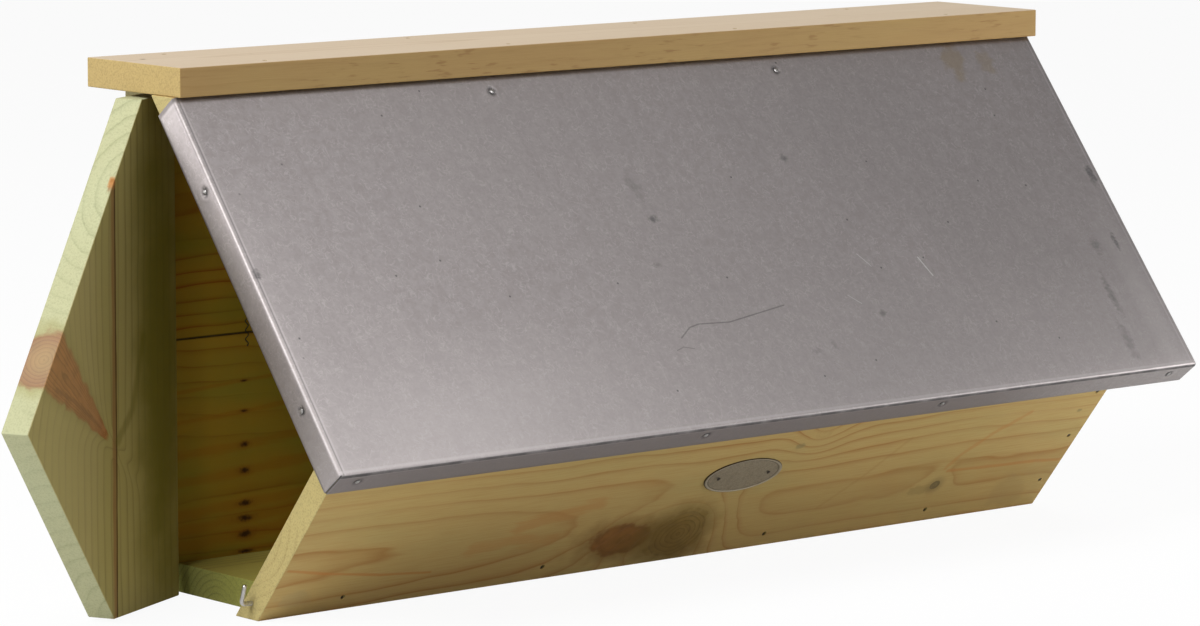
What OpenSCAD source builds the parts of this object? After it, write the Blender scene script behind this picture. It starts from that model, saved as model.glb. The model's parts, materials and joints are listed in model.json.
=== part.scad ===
// Swift nest box: a long sloping-front timber box for a wall, with a zinc covered
// roof, a bottom entrance slot and a hinged end door that is held by a turn hook.
// +X runs along the box away from the door, +Y points to the wall, +Z is up.
// The origin is midway between the two wall screw holes, on the back face.

/* [Boards] */
// Thickness of the front, floor, roof, end and door boards
board_t = 18; // [14:0.5:22]
// Thickness of the two back boards
back_t = 24; // [18:0.5:30]
// Length of the front and back boards
body_l = 650; // [500:1:900]
// Height of the back, from the underside to the ridge board
body_h = 314; // [290:1:340]
// Depth of the flat underside, from the back face to the front board's lower edge
base_w = 133; // [118:1:150]
// Lean of the front board from upright, in degrees
front_tilt = 38.8; // [34:0.1:42]

/* [Roof] */
// How far the roof reaches past each end of the body
roof_over = 30; // [20:0.5:80]
// Width of the roof down its slope
roof_w = 264; // [245:1:285]
// Slope of the roof from level, in degrees
roof_slope = 51.8; // [49:0.1:55]
// Thickness of the zinc sheet
sheet_t = 0.7; // [0.5:0.1:1.2]
// Depth of the zinc's folded edges
flange_d = 16; // [10:0.5:18]
// How far the ridge board reaches past each end of the body, if it sat in the middle
ridge_over = 30.5; // [20:0.5:80]
// Width of the ridge board, front to back
ridge_w = 97; // [88:1:110]
// Thickness of the ridge board
ridge_t = 18; // [14:0.5:25]
// How far the ridge board reaches past the top of the zinc
ridge_lip = 4; // [2:0.5:8]
// How far the ridge board sits off centre along the box
ridge_shift = 3; // [0:0.5:6]

/* [Entrance and wall holes] */
// Length of the entrance slot in the floor
slot_l = 65; // [55:1:80]
// Width of the entrance slot
slot_w = 28; // [26:0.5:40]
// Distance from the slot's middle to the outside of the fixed end
slot_inset = 100; // [60:1:150]
// Diameter of the wall screw holes
wall_hole_d = 6; // [4:0.5:8]
// Distance between the wall screw holes
wall_hole_gap = 400; // [200:1:480]
// Height of the wall screw holes above the underside
wall_hole_up = 250; // [220:1:275]

/* [Door] */
// How far the door stands open, in degrees
door_open = 63; // [0:1:95]
// Gap between the door and the back boards
door_back_gap = 1; // [0.6:0.1:3]
// Gap above the door, under the ridge board
door_top_gap = 3; // [1:0.5:6]
// Gap between the door and the roof board
door_roof_gap = 4.2; // [4:0.1:8]
// Gap between the door and the front board
door_front_gap = 2.6; // [2.4:0.1:6]
// Gap between the closed door and the floor's end
door_floor_gap = 1; // [0.5:0.1:3]
// Height of the door's lower edge above the underside
door_low_gap = 2; // [0:0.5:4]

/* [Hinges] */
// Length of a hinge leaf
leaf_l = 40; // [30:1:60]
// Width of a hinge leaf, from the pin
leaf_w = 15; // [12:0.5:17]
// Thickness of a hinge leaf
leaf_t = 1.2; // [0.8:0.1:1.3]
// Diameter of the hinge knuckles
knuckle_d = 5; // [5:0.1:6]
// Diameter of the hinge pin
pin_d = 2.4; // [2:0.1:2.4]
// Distance of each hinge's middle from the door's top or bottom edge
hinge_inset = 55; // [40:1:90]

/* [Turn hook] */
// Diameter of the hook's wire
hook_wire_d = 2.8; // [2:0.1:4]
// How far the hook stands out of the front board's end
hook_out = 8; // [6.5:0.5:12]
// Length of the hook's bent arm
hook_arm = 13; // [11:0.5:20]
// Length of the hook's thread in the board
hook_thread = 22; // [15:1:30]
// Distance from the front board's outer face to the hook
hook_in = 11; // [8:0.5:14]
// Height of the hook above the underside
hook_up = 10.5; // [8:0.5:20]
// How far the resting hook leans to the front, in degrees
hook_lean = 18; // [0:1:30]

/* [Badge] */
// Length of the oval badge
badge_l = 64; // [40:1:90]
// Height of the oval badge
badge_h = 29; // [18:0.5:50]
// Thickness of the badge
badge_t = 1; // [0.6:0.1:2]
// How far the badge sits off centre along the box
badge_shift = 21; // [-60:1:60]
// Distance of the badge's middle from the front board's lower edge
badge_up = 75; // [40:1:110]

/* [Nails] */
// Diameter of the wood nails
nail_d = 1.8; // [1.4:0.1:2.5]
// Diameter of a wood nail's head
nail_head_d = 3; // [2.6:0.1:5]
// Length of the wood nails
nail_l = 38; // [30:1:45]
// Diameter of the zinc's pins
tack_d = 1.6; // [1.2:0.1:2]
// Diameter of a zinc pin's head
tack_head_d = 3.2; // [2.4:0.1:5]
// Length of the zinc's pins
tack_l = 13; // [8:0.5:14]

/* [Hidden] */
$fn = 32;

wood = [0.80, 0.70, 0.47];
green_wood = [0.66, 0.66, 0.44];
zinc = [0.56, 0.55, 0.56];
steel = [0.72, 0.72, 0.74];
dark_steel = [0.30, 0.27, 0.24];

// Room around a nail, pin or screw in its hole
nail_fit = 0.03;
// How far a wood nail's head lies under the surface
nail_sink = 0.4;
// Thickness of a nail's head
nail_head_t = 0.8;
// Thickness of a zinc pin's head
tack_head_t = 0.7;
// Running room between a hinge pin and its knuckles, on the radius
pin_fit = 0.05;
// Room beside each moving knuckle
knuckle_gap = 0.3;
// Room between a hinge leaf and the wood's surface
leaf_gap = 0.02;
// Room around the hook's thread, on the radius
hook_fit = 0.05;

roof_l = body_l + 2*roof_over;
ridge_l = body_l + 2*ridge_over;
half_body = body_l/2;
half_roof = roof_l/2;
body_left = -half_body;
body_right = half_body;
door_in_x = body_left + board_t;
floor_left = door_in_x + door_floor_gap;
panel_in_x = body_right - board_t;
joint_z = body_h/2;

// The line where the zinc's outer face meets the underside of the ridge board
ridge_line_y = -ridge_w + ridge_lip;
eave_y = ridge_line_y - roof_w*cos(roof_slope);
eave_z = body_h - roof_w*sin(roof_slope);
roof_depth = sheet_t + board_t;

// Y of a plane at depth d under the zinc's outer face, and under the front face
function roof_y(z, d) = ridge_line_y - (body_h - z)/tan(roof_slope) + d/sin(roof_slope);
function front_y(z, d) = -base_w - z*tan(front_tilt) + d/cos(front_tilt);

// Height at which those two planes meet
function corner_z(roof_d, front_d) =
    (front_y(0, front_d) - roof_y(0, roof_d))/(1/tan(roof_slope) + tan(front_tilt));

// Outline of an end, in Y and Z, with gaps to the back, ridge, roof, front and underside
function end_outline(back_gap, top_gap, roof_gap, front_gap, low_gap) =
    let (rear = -back_t - back_gap,
         top = body_h - top_gap,
         roof_d = roof_depth + roof_gap,
         front_d = board_t + front_gap,
         cz = corner_z(roof_d, front_d))
    [[rear, low_gap], [rear, top], [roof_y(top, roof_d), top],
     [roof_y(cz, roof_d), cz], [front_y(low_gap, front_d), low_gap]];

// Pieces are built up from the underside, then moved so the wall holes lie at zero
module from_base() {
    translate([0, 0, -wall_hole_up])
        children();
}

// Extrudes an outline drawn in Y and Z along X
module along_x(x, l) {
    translate([x, 0, 0])
        rotate([90, 0, 90])
            linear_extrude(l)
                children();
}

// Frame on the roof: X along it, Y up its slope from the eave, Z out of the zinc
module on_roof() {
    translate([0, eave_y, eave_z])
        rotate([roof_slope, 0, 0])
            children();
}

// Frame on the front board: X along it, Y up the board from its lower edge, Z out
module on_front() {
    translate([0, -base_w, 0])
        rotate([90 + front_tilt, 0, 0])
            children();
}

// A nail with its head's top at zero and its shank along -Z
module nail(shank_d, head_d, head_t, length, fit) {
    translate([0, 0, -head_t - fit])
        cylinder(d = head_d + 2*fit, h = head_t + 2*fit);
    translate([0, 0, -length - fit])
        cylinder(d = shank_d + 2*fit, h = length);
}

module wood_nail(fit = 0) {
    translate([0, 0, -nail_sink])
        nail(nail_d, nail_head_d, nail_head_t, nail_l, fit);
}

// The hole of a wood nail, open to the surface above its sunk head
module wood_nail_hole() {
    wood_nail(nail_fit);
    translate([0, 0, -nail_sink - nail_fit])
        cylinder(d = nail_head_d + 2*nail_fit, h = nail_sink + nail_head_d);
}

module tack(fit = 0) {
    translate([0, 0, tack_head_t])
        nail(tack_d, tack_head_d, tack_head_t, tack_l + tack_head_t, fit);
}

// Wood nails through the front board: level ones into the floor, at these shares of
// the board's length, and square ones into the fixed end, this far up the board
floor_nail_at = [0.09, 0.33, 0.615, 0.835];
end_nail_up = [25, 68, 110];

module front_nail_places() {
    for (share = floor_nail_at)
        translate([body_left + share*body_l,
                   front_y(board_t/2, 0) + nail_head_d/2*tan(front_tilt), board_t/2])
            rotate([90, 0, 0])
                children();
    on_front()
        for (up = end_nail_up)
            translate([body_right - board_t/2, up, 0])
                children();
}

// Wood nails through the back, into the floor and the fixed end
back_floor_nails = 4;
back_end_nails = [45, 110, 200, 270];

module back_nail_places() {
    for (i = [0:back_floor_nails - 1])
        translate([floor_left + (i + 0.5)*(panel_in_x - floor_left)/back_floor_nails,
                   0, board_t/2])
            rotate([-90, 0, 0])
                children();
    for (up = back_end_nails)
        translate([body_right - board_t/2, 0, up])
            rotate([-90, 0, 0])
                children();
}

// Wood nails through the ridge board, into the back and the roof board
ridge_nails_count = 4;
ridge_nail_inset = 42;

module ridge_nail_places() {
    for (i = [0:ridge_nails_count - 1])
        let (x = -half_body + ridge_nail_inset
                 + i*(body_l - 2*ridge_nail_inset)/(ridge_nails_count - 1)) {
            translate([x - ridge_nail_inset/2, -back_t/2, body_h + ridge_t])
                children();
            translate([x, roof_y(body_h, board_t/4), body_h + ridge_t])
                children();
        }
}

// Wood nails through the roof board, into the front board's top and the fixed end
roof_nail_count = 4;
roof_nail_inset = 60;
roof_end_nails = [110, 190];

module roof_nail_places() {
    // Where the middle of the front board's top end lies up the slope
    top_up = (corner_z(roof_depth, board_t/2) - eave_z)/sin(roof_slope)
             + roof_depth/tan(roof_slope);
    on_roof() {
        for (i = [0:roof_nail_count - 1])
            translate([-half_body + roof_nail_inset
                       + i*(body_l - 2*roof_nail_inset)/(roof_nail_count - 1),
                       top_up, -sheet_t])
                children();
        for (up = roof_end_nails)
            translate([body_right - board_t/2, up, -sheet_t])
                children();
    }
}

// Pins in the zinc: two near the ridge, four in the eave fold, two in each side fold
eave_pin_at = [0.024, 0.4, 0.68, 0.97];
side_pin_up = [50, 202];
top_pin_down = 12;

module sheet_pin_places() {
    on_roof() {
        for (side = [-1, 1])
            translate([side*roof_l/6, roof_w - top_pin_down, 0])
                children();
        for (share = eave_pin_at)
            translate([-half_roof + share*roof_l, 0, -flange_d/2])
                rotate([90, 0, 0])
                    children();
        for (side = [-1, 1], up = side_pin_up)
            translate([side*half_roof, up, -flange_d/2])
                rotate([0, side*90, 0])
                    children();
    }
}

// Corrugated fasteners across the joint of the two back boards
fastener_at = [0.112, 0.5, 0.888];
fastener_l = 17;
fastener_depth = 9;
fastener_t = 0.6;
fastener_wave = 1.1;
fastener_waves = 3;
fastener_steps = 36;

function wave_x(i) = fastener_wave*sin(360*fastener_waves*i/fastener_steps);
function wave_z(i) = fastener_l*(i/fastener_steps - 0.5);

module fastener_outline() {
    polygon(concat(
        [for (i = [0:fastener_steps]) [wave_x(i) - fastener_t/2, wave_z(i)]],
        [for (i = [fastener_steps:-1:0]) [wave_x(i) + fastener_t/2, wave_z(i)]]));
}

module fastener_places() {
    for (share = fastener_at)
        translate([body_left + share*body_l, -back_t, joint_z])
            rotate([90, 0, 0])
                children();
}

// The badge lies on the front board, held by a pin near each end
badge_pin_gap = 42;
badge_pin_d = 1.4;
badge_pin_head_d = 2.6;
badge_pin_head_t = 0.5;
badge_pin_l = 9;

module badge_place() {
    on_front()
        translate([badge_shift, badge_up, 0])
            children();
}

module badge_pin_places() {
    badge_place()
        for (side = [-1, 1])
            translate([side*badge_pin_gap/2, 0, badge_t + badge_pin_head_t])
                children();
}

// Turn hook, on the left end of the front board
hook_y = front_y(hook_up, hook_in);
hook_bend_r = hook_wire_d;

module hook_place() {
    translate([body_left, hook_y, hook_up])
        children();
}

// Hinge pin axis, beside the outer edge of the door
knuckle_r = knuckle_d/2;
hinge_x = body_left - leaf_gap - knuckle_r;
hinge_y = -back_t - door_back_gap/2;
door_top = body_h - door_top_gap;
hinge_low = hinge_inset;
hinge_high = door_top - hinge_inset;
knuckle_l = leaf_l/3;
hinge_screw_d = 2.6;
hinge_screw_head_d = 4.6;
hinge_screw_head_t = 0.9;
hinge_screw_l = 12;
hinge_screw_up = leaf_l*0.3;

module at_hinge(up) {
    translate([hinge_x, hinge_y, up])
        children();
}

// The door and what is fixed to it, swung open about the hinge pins
module door_swing() {
    translate([hinge_x, hinge_y, 0])
        rotate([0, 0, -door_open])
            translate([-hinge_x, -hinge_y, 0])
                children();
}

// Screws of one leaf; side is 1 for the box's leaf and -1 for the door's
module leaf_screw_places(up, side) {
    for (along = [-1, 1])
        translate([body_left - leaf_gap - leaf_t - hinge_screw_head_t/2,
                   hinge_y + side*(knuckle_r + (leaf_w - knuckle_r)/2),
                   up + along*hinge_screw_up])
            rotate([0, -90, 0])
                children();
}

module hinge_screw(fit = 0) {
    nail(hinge_screw_d, hinge_screw_head_d, hinge_screw_head_t, hinge_screw_l, fit);
}

// A leaf with its knuckles: the box's leaf has the outer two, the door's the middle
module hinge_leaf(up, side) {
    own = side > 0 ? [-1, 1] : [0];
    other = side > 0 ? [0] : [-1, 1];
    difference() {
        union() {
            translate([body_left - leaf_gap - leaf_t, hinge_y + (side < 0 ? -leaf_w : 0),
                       up - leaf_l/2])
                cube([leaf_t, leaf_w, leaf_l]);
            for (k = own)
                at_hinge(up + (k - 0.5)*knuckle_l)
                    cylinder(d = knuckle_d, h = knuckle_l);
        }
        for (k = other)
            at_hinge(up + (k - 0.5)*knuckle_l - knuckle_gap)
                cylinder(d = knuckle_d + 2*knuckle_gap, h = knuckle_l + 2*knuckle_gap);
        at_hinge(up - leaf_l/2 - 1)
            cylinder(d = pin_d + 2*pin_fit, h = leaf_l + 2);
        leaf_screw_places(up, side)
            hinge_screw(nail_fit);
    }
}

module hinge_pin(up) {
    head_t = 1;
    at_hinge(up - leaf_l/2 - head_t)
        cylinder(d = pin_d, h = leaf_l + 2*head_t);
    for (z = [up - leaf_l/2 - head_t, up + leaf_l/2 + pin_fit])
        at_hinge(z)
            cylinder(d = knuckle_d*0.9, h = head_t - pin_fit);
}

module ridge_board() {
    color(wood)
        from_base()
            difference() {
                translate([ridge_shift - ridge_l/2, -ridge_w, body_h])
                    cube([ridge_l, ridge_w, ridge_t]);
                ridge_nail_places()
                    wood_nail_hole();
            }
}

module roof_board() {
    color(wood)
        from_base()
            difference() {
                on_roof()
                    along_x(-half_roof + sheet_t, roof_l - 2*sheet_t)
                        polygon([[sheet_t, -sheet_t], [sheet_t, -roof_depth],
                                 [roof_w + roof_depth/tan(roof_slope), -roof_depth],
                                 [roof_w + sheet_t/tan(roof_slope), -sheet_t]]);
                ridge_nail_places()
                    wood_nail(nail_fit);
                roof_nail_places()
                    wood_nail_hole();
                sheet_pin_places()
                    tack(nail_fit);
            }
}

module roof_sheet() {
    // The side folds are cut off at a slant at the top, clear of the ridge board
    slant = flange_d*0.8;
    color(zinc)
        from_base()
            difference() {
                on_roof() {
                    translate([-half_roof, 0, -sheet_t])
                        cube([roof_l, roof_w, sheet_t]);
                    translate([-half_roof, 0, -flange_d])
                        cube([roof_l, sheet_t, flange_d]);
                    for (x = [-half_roof, half_roof - sheet_t])
                        along_x(x, sheet_t)
                            polygon([[0, 0], [0, -flange_d],
                                     [roof_w - slant, -flange_d], [roof_w, 0]]);
                }
                sheet_pin_places()
                    tack(nail_fit);
            }
}

module front_board() {
    color(wood)
        from_base()
            difference() {
                along_x(body_left, body_l)
                    let (outer_z = corner_z(roof_depth, 0),
                         inner_z = corner_z(roof_depth, board_t))
                    polygon([[front_y(0, 0), 0], [front_y(outer_z, 0), outer_z],
                             [front_y(inner_z, board_t), inner_z],
                             [front_y(0, board_t), 0]]);
                front_nail_places()
                    wood_nail_hole();
                roof_nail_places()
                    wood_nail(nail_fit);
                badge_pin_places()
                    nail(badge_pin_d, badge_pin_head_d, badge_pin_head_t,
                         badge_pin_l, nail_fit);
                hook_place()
                    rotate([0, 90, 0])
                        cylinder(d = hook_wire_d + 2*hook_fit, h = hook_thread + 1);
            }
}

module floor_board() {
    slot_y = (-back_t + front_y(board_t/2, board_t))/2;
    color(green_wood)
        from_base()
            difference() {
                along_x(floor_left, panel_in_x - floor_left)
                    polygon([[-back_t, 0], [-back_t, board_t],
                             [front_y(board_t, board_t), board_t],
                             [front_y(0, board_t), 0]]);
                translate([body_right - slot_inset, slot_y, 0]) {
                    for (side = [-1, 1])
                        translate([side*(slot_l - slot_w)/2, 0, -1])
                            cylinder(d = slot_w, h = board_t + 2);
                    translate([-(slot_l - slot_w)/2, -slot_w/2, -1])
                        cube([slot_l - slot_w, slot_w, board_t + 2]);
                }
                front_nail_places()
                    wood_nail(nail_fit);
                back_nail_places()
                    wood_nail(nail_fit);
            }
}

// One back board, from height low to height high, with every hole that meets it
module back_board(low, high) {
    difference() {
        translate([body_left, -back_t, low])
            cube([body_l, back_t, high - low]);
        for (side = [-1, 1])
            translate([side*wall_hole_gap/2, 1, wall_hole_up])
                rotate([90, 0, 0])
                    cylinder(d = wall_hole_d, h = back_t + 2);
        back_nail_places()
            wood_nail_hole();
        ridge_nail_places()
            wood_nail(nail_fit);
        for (up = [hinge_low, hinge_high])
            leaf_screw_places(up, 1)
                hinge_screw(nail_fit);
    }
}

module back_board_upper() {
    color(wood)
        from_base()
            back_board(joint_z, body_h);
}

module back_board_lower() {
    color(wood)
        from_base()
            back_board(0, joint_z);
}

module end_panel() {
    color(green_wood)
        from_base()
            difference() {
                along_x(panel_in_x, board_t)
                    polygon(end_outline(0, 0, 0, 0, 0));
                front_nail_places()
                    wood_nail(nail_fit);
                back_nail_places()
                    wood_nail(nail_fit);
                roof_nail_places()
                    wood_nail(nail_fit);
            }
}

module door_panel() {
    color(green_wood)
        from_base()
            door_swing()
                difference() {
                    along_x(body_left, board_t)
                        polygon(end_outline(door_back_gap, door_top_gap, door_roof_gap,
                                            door_front_gap, door_low_gap));
                    for (up = [hinge_low, hinge_high])
                        leaf_screw_places(up, -1)
                            hinge_screw(nail_fit);
                }
}

module hinge_upper_box_leaf() {
    color(steel)
        from_base()
            hinge_leaf(hinge_high, 1);
}

module hinge_upper_door_leaf() {
    color(steel)
        from_base()
            door_swing()
                hinge_leaf(hinge_high, -1);
}

module hinge_upper_pin() {
    color(steel)
        from_base()
            hinge_pin(hinge_high);
}

module hinge_lower_box_leaf() {
    color(steel)
        from_base()
            hinge_leaf(hinge_low, 1);
}

module hinge_lower_door_leaf() {
    color(steel)
        from_base()
            door_swing()
                hinge_leaf(hinge_low, -1);
}

module hinge_lower_pin() {
    color(steel)
        from_base()
            hinge_pin(hinge_low);
}

module hinge_box_screws() {
    color(steel)
        from_base()
            for (up = [hinge_low, hinge_high])
                leaf_screw_places(up, 1)
                    hinge_screw();
}

module hinge_door_screws() {
    color(steel)
        from_base()
            door_swing()
                for (up = [hinge_low, hinge_high])
                    leaf_screw_places(up, -1)
                        hinge_screw();
}

// A square hook of round wire: a thread in the board, a bend and an arm
module turn_hook() {
    color(steel)
        from_base()
            hook_place()
                rotate([hook_lean, 0, 0]) {
                    translate([-hook_out + hook_bend_r, 0, 0])
                        rotate([0, 90, 0])
                            cylinder(d = hook_wire_d,
                                     h = hook_out - hook_bend_r + hook_thread);
                    translate([-hook_out + hook_bend_r, 0, hook_bend_r])
                        rotate([90, 0, 0])
                            rotate([0, 0, 180])
                                rotate_extrude(angle = 90)
                                    translate([hook_bend_r, 0])
                                        circle(d = hook_wire_d);
                    translate([-hook_out, 0, hook_bend_r])
                        cylinder(d = hook_wire_d, h = hook_arm - hook_bend_r);
                }
}

module badge_plate() {
    color(steel)
        from_base()
            difference() {
                badge_place()
                    linear_extrude(badge_t)
                        scale([badge_l, badge_h])
                            circle(d = 1, $fn = 64);
                badge_pin_places()
                    nail(badge_pin_d, badge_pin_head_d, badge_pin_head_t,
                         badge_pin_l, nail_fit);
            }
}

module badge_pins() {
    color(dark_steel)
        from_base()
            badge_pin_places()
                nail(badge_pin_d, badge_pin_head_d, badge_pin_head_t, badge_pin_l, 0);
}

module ridge_nails() {
    color(dark_steel)
        from_base()
            ridge_nail_places()
                wood_nail();
}

module roof_nails() {
    color(dark_steel)
        from_base()
            roof_nail_places()
                wood_nail();
}

module front_nails() {
    color(dark_steel)
        from_base()
            front_nail_places()
                wood_nail();
}

module back_nails() {
    color(dark_steel)
        from_base()
            back_nail_places()
                wood_nail();
}

module sheet_pins() {
    color(steel)
        from_base()
            sheet_pin_places()
                tack();
}

module joint_fasteners() {
    color(dark_steel)
        from_base()
            fastener_places()
                translate([0, 0, -fastener_depth])
                    linear_extrude(fastener_depth)
                        fastener_outline();
}

ridge_board();
roof_board();
roof_sheet();
front_board();
floor_board();
back_board_upper();
back_board_lower();
end_panel();
door_panel();
hinge_upper_box_leaf();
hinge_upper_door_leaf();
hinge_upper_pin();
hinge_lower_box_leaf();
hinge_lower_door_leaf();
hinge_lower_pin();
hinge_box_screws();
hinge_door_screws();
turn_hook();
badge_plate();
badge_pins();
ridge_nails();
roof_nails();
front_nails();
back_nails();
sheet_pins();
joint_fasteners();
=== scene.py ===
# %% [markdown]
# A swift nest box in timber and zinc.
# The construction is already settled: every board, nail and hinge has its real size and
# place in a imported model. This script dresses that model. It loads the model as a fixed
# frame, measures the frame, and builds each visible piece round it with its own finish.
# All lengths are in metres, +X runs along the box away from the door, +Y points to the
# wall, and +Z is up.

# %% Load the fixed frame
import json
import math

import bmesh
import bpy
import numpy as np
from mathutils import Matrix, Vector, noise


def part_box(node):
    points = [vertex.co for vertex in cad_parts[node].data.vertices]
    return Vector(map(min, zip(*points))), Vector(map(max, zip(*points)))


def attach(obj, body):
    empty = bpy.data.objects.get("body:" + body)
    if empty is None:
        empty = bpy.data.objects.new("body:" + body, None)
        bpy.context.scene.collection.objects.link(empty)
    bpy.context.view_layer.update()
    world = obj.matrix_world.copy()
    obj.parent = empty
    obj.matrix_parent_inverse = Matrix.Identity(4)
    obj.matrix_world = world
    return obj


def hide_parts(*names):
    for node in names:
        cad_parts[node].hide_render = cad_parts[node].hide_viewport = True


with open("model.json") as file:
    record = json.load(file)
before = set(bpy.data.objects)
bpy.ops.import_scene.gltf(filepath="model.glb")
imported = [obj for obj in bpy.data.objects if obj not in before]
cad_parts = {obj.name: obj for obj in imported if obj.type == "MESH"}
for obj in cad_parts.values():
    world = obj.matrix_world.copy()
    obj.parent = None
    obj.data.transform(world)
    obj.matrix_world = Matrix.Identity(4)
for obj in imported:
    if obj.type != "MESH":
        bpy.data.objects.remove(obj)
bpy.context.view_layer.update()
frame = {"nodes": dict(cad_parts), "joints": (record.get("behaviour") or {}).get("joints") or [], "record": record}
nodes = frame["nodes"]
record = frame["record"]
body_of = {name: body for body, names in record["behaviour"]["bodies"].items() for name in names}
joint_of = {joint["name"]: joint for joint in frame["joints"]}
MM = 0.001

# %% [markdown]
# Boards are easiest to finish in their own axes: along the grain, across the face and out
# of the face. The frame gives them. The largest flat face of a node says which way a board
# looks, and the reach of its corners along a direction says where it ends. Measuring keeps
# the finish on the board when the model's sizes change, where typed numbers would not.


# %% Measure the boards
class Board:
    """A board's own axes: along its grain, across its face, and out of its face."""

    def __init__(self, origin, along, across):
        self.origin = Vector(origin)
        self.along = Vector(along).normalized()
        self.across = Vector(across).normalized()
        self.out = self.along.cross(self.across)
        self.turn = Matrix((self.along, self.across, self.out)).transposed().to_euler()

    def at(self, along, across, out=0.0):
        """The frame's point at these board measures."""
        return self.origin + self.along * along + self.across * across + self.out * out

    def measure(self, point):
        """A frame's point in board measures."""
        offset = Vector(point) - self.origin
        return Vector((offset.dot(self.along), offset.dot(self.across), offset.dot(self.out)))


def reach(node, direction):
    """Least and greatest reach of a node along a direction."""
    found = [vertex.co.dot(direction) for vertex in nodes[node].data.vertices]
    return min(found), max(found)


LOOKS_TOWARD = 0.3


def main_face(node, toward):
    """The way that a node's largest flat face looks, of those that look about toward."""
    sums = {}
    for polygon in nodes[node].data.polygons:
        key = tuple(round(part, 2) for part in polygon.normal)
        if polygon.normal.dot(toward) > LOOKS_TOWARD:
            sums[key] = sums.get(key, Vector()) + polygon.normal * polygon.area
    return max(sums.values(), key=lambda total: total.length).normalized()


X_AXIS = Vector((1, 0, 0))
Y_AXIS = Vector((0, 1, 0))
Z_AXIS = Vector((0, 0, 1))

base_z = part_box("front_board")[0].z
body_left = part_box("back_board_lower")[0].x
body_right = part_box("back_board_lower")[1].x
inner_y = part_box("back_board_lower")[0].y
ridge_low, ridge_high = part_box("ridge_board")
floor_low, floor_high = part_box("floor_board")

roof_out = main_face("roof_sheet", Vector((0, -0.7, 0.7)))
roof_up = roof_out.cross(X_AXIS)
roof_eave = reach("roof_sheet", roof_up)[0]
roof_face = reach("roof_sheet", roof_out)[1]
roof = Board(roof_up * roof_eave + roof_out * roof_face, X_AXIS, roof_up)

front_out = main_face("front_board", Vector((0, -0.8, -0.6)))
front_up = front_out.cross(X_AXIS)
front_face = reach("front_board", front_out)[1]
front_foot = (base_z - front_out.z * front_face) / front_up.z
front = Board(front_out * front_face + front_up * front_foot, X_AXIS, front_up)

ridge = Board((0, ridge_low.y, ridge_high.z), X_AXIS, Y_AXIS)
floor_top = Board((0, floor_low.y, floor_high.z), X_AXIS, Y_AXIS)
back = Board((0, inner_y, base_z), X_AXIS, Z_AXIS)
end = Board((body_right, inner_y, base_z), Z_AXIS, -Y_AXIS)

door_turn = Matrix.Rotation(math.radians(joint_of["door_hinge"]["range_deg"][0]), 3, "Z")
door_out = door_turn @ X_AXIS
door_across = door_turn @ -Y_AXIS
door_edge = reach("door_panel", door_across)[0]
door_face = reach("door_panel", door_out)[1]
door = Board(door_across * door_edge + door_out * door_face + Z_AXIS * base_z, Z_AXIS, door_across)

FOLD_PAST_BOARD = 0.6 * MM
roof_length = 2 * reach("roof_sheet", X_AXIS)[1]
roof_width = reach("roof_sheet", roof_up)[1] - roof_eave
fold_depth = roof_face - reach("roof_board", roof_out)[0] + FOLD_PAST_BOARD
print("roof", round(roof_length, 3), "by", round(roof_width, 3), "folds", round(fold_depth, 4))
print("front leans", round(math.degrees(math.atan2(-front_up.y, front_up.z)), 1), "degrees")

# %% [markdown]
# The photograph was taken from the left of the box with a long lens, so the long edges
# hardly converge. The camera's place and lens were solved from the box's own corners.
# A camera looks down its own -Z, so yaw and pitch become a plain Euler turn.

# %% Camera
SENSOR = 36.0
LENS = 156.34
CAMERA_AT = Vector((-2.1364, -2.6224, 0.3530))
YAW = math.radians(39.858)
PITCH = math.radians(7.715)
ROLL = math.radians(-0.031)

camera_data = bpy.data.cameras.new("camera")
camera_data.sensor_width = SENSOR
camera_data.lens = LENS
camera = bpy.data.objects.new("camera", camera_data)
bpy.context.scene.collection.objects.link(camera)
camera.location = CAMERA_AT
camera.rotation_euler = (math.pi / 2 - PITCH, ROLL, -YAW)
bpy.context.scene.camera = camera

# %% [markdown]
# Finishes are made of nodes, and node trees are easier to read as sums than as wires. One
# small class wraps a socket and lets Python's own operators add the Math nodes, so that
# `1 - mask` is a node. Another adds any node by its type, its settings and its values.
# The same two classes serve shader trees and geometry trees. A third holds one material
# and its colour, on which masks lay other colours one after another.


# %% Node helpers
class Socket:
    """One output of a node. Arithmetic on it adds Math nodes to its tree."""

    def __init__(self, graph, output):
        self.graph = graph
        self.output = output

    def also(self, name):
        """Another output of the same node."""
        return Socket(self.graph, self.output.node.outputs[name])

    def __add__(self, other):
        return self.graph.math("ADD", self, other)

    __radd__ = __add__

    def __sub__(self, other):
        return self.graph.math("SUBTRACT", self, other)

    def __rsub__(self, other):
        return self.graph.math("SUBTRACT", other, self)

    def __mul__(self, other):
        return self.graph.math("MULTIPLY", self, other)

    __rmul__ = __mul__

    def __truediv__(self, other):
        return self.graph.math("DIVIDE", self, other)

    def __rtruediv__(self, other):
        return self.graph.math("DIVIDE", other, self)

    def __abs__(self):
        return self.graph.math("ABSOLUTE", self)

    def __pow__(self, other):
        return self.graph.math("POWER", self, other)


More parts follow.
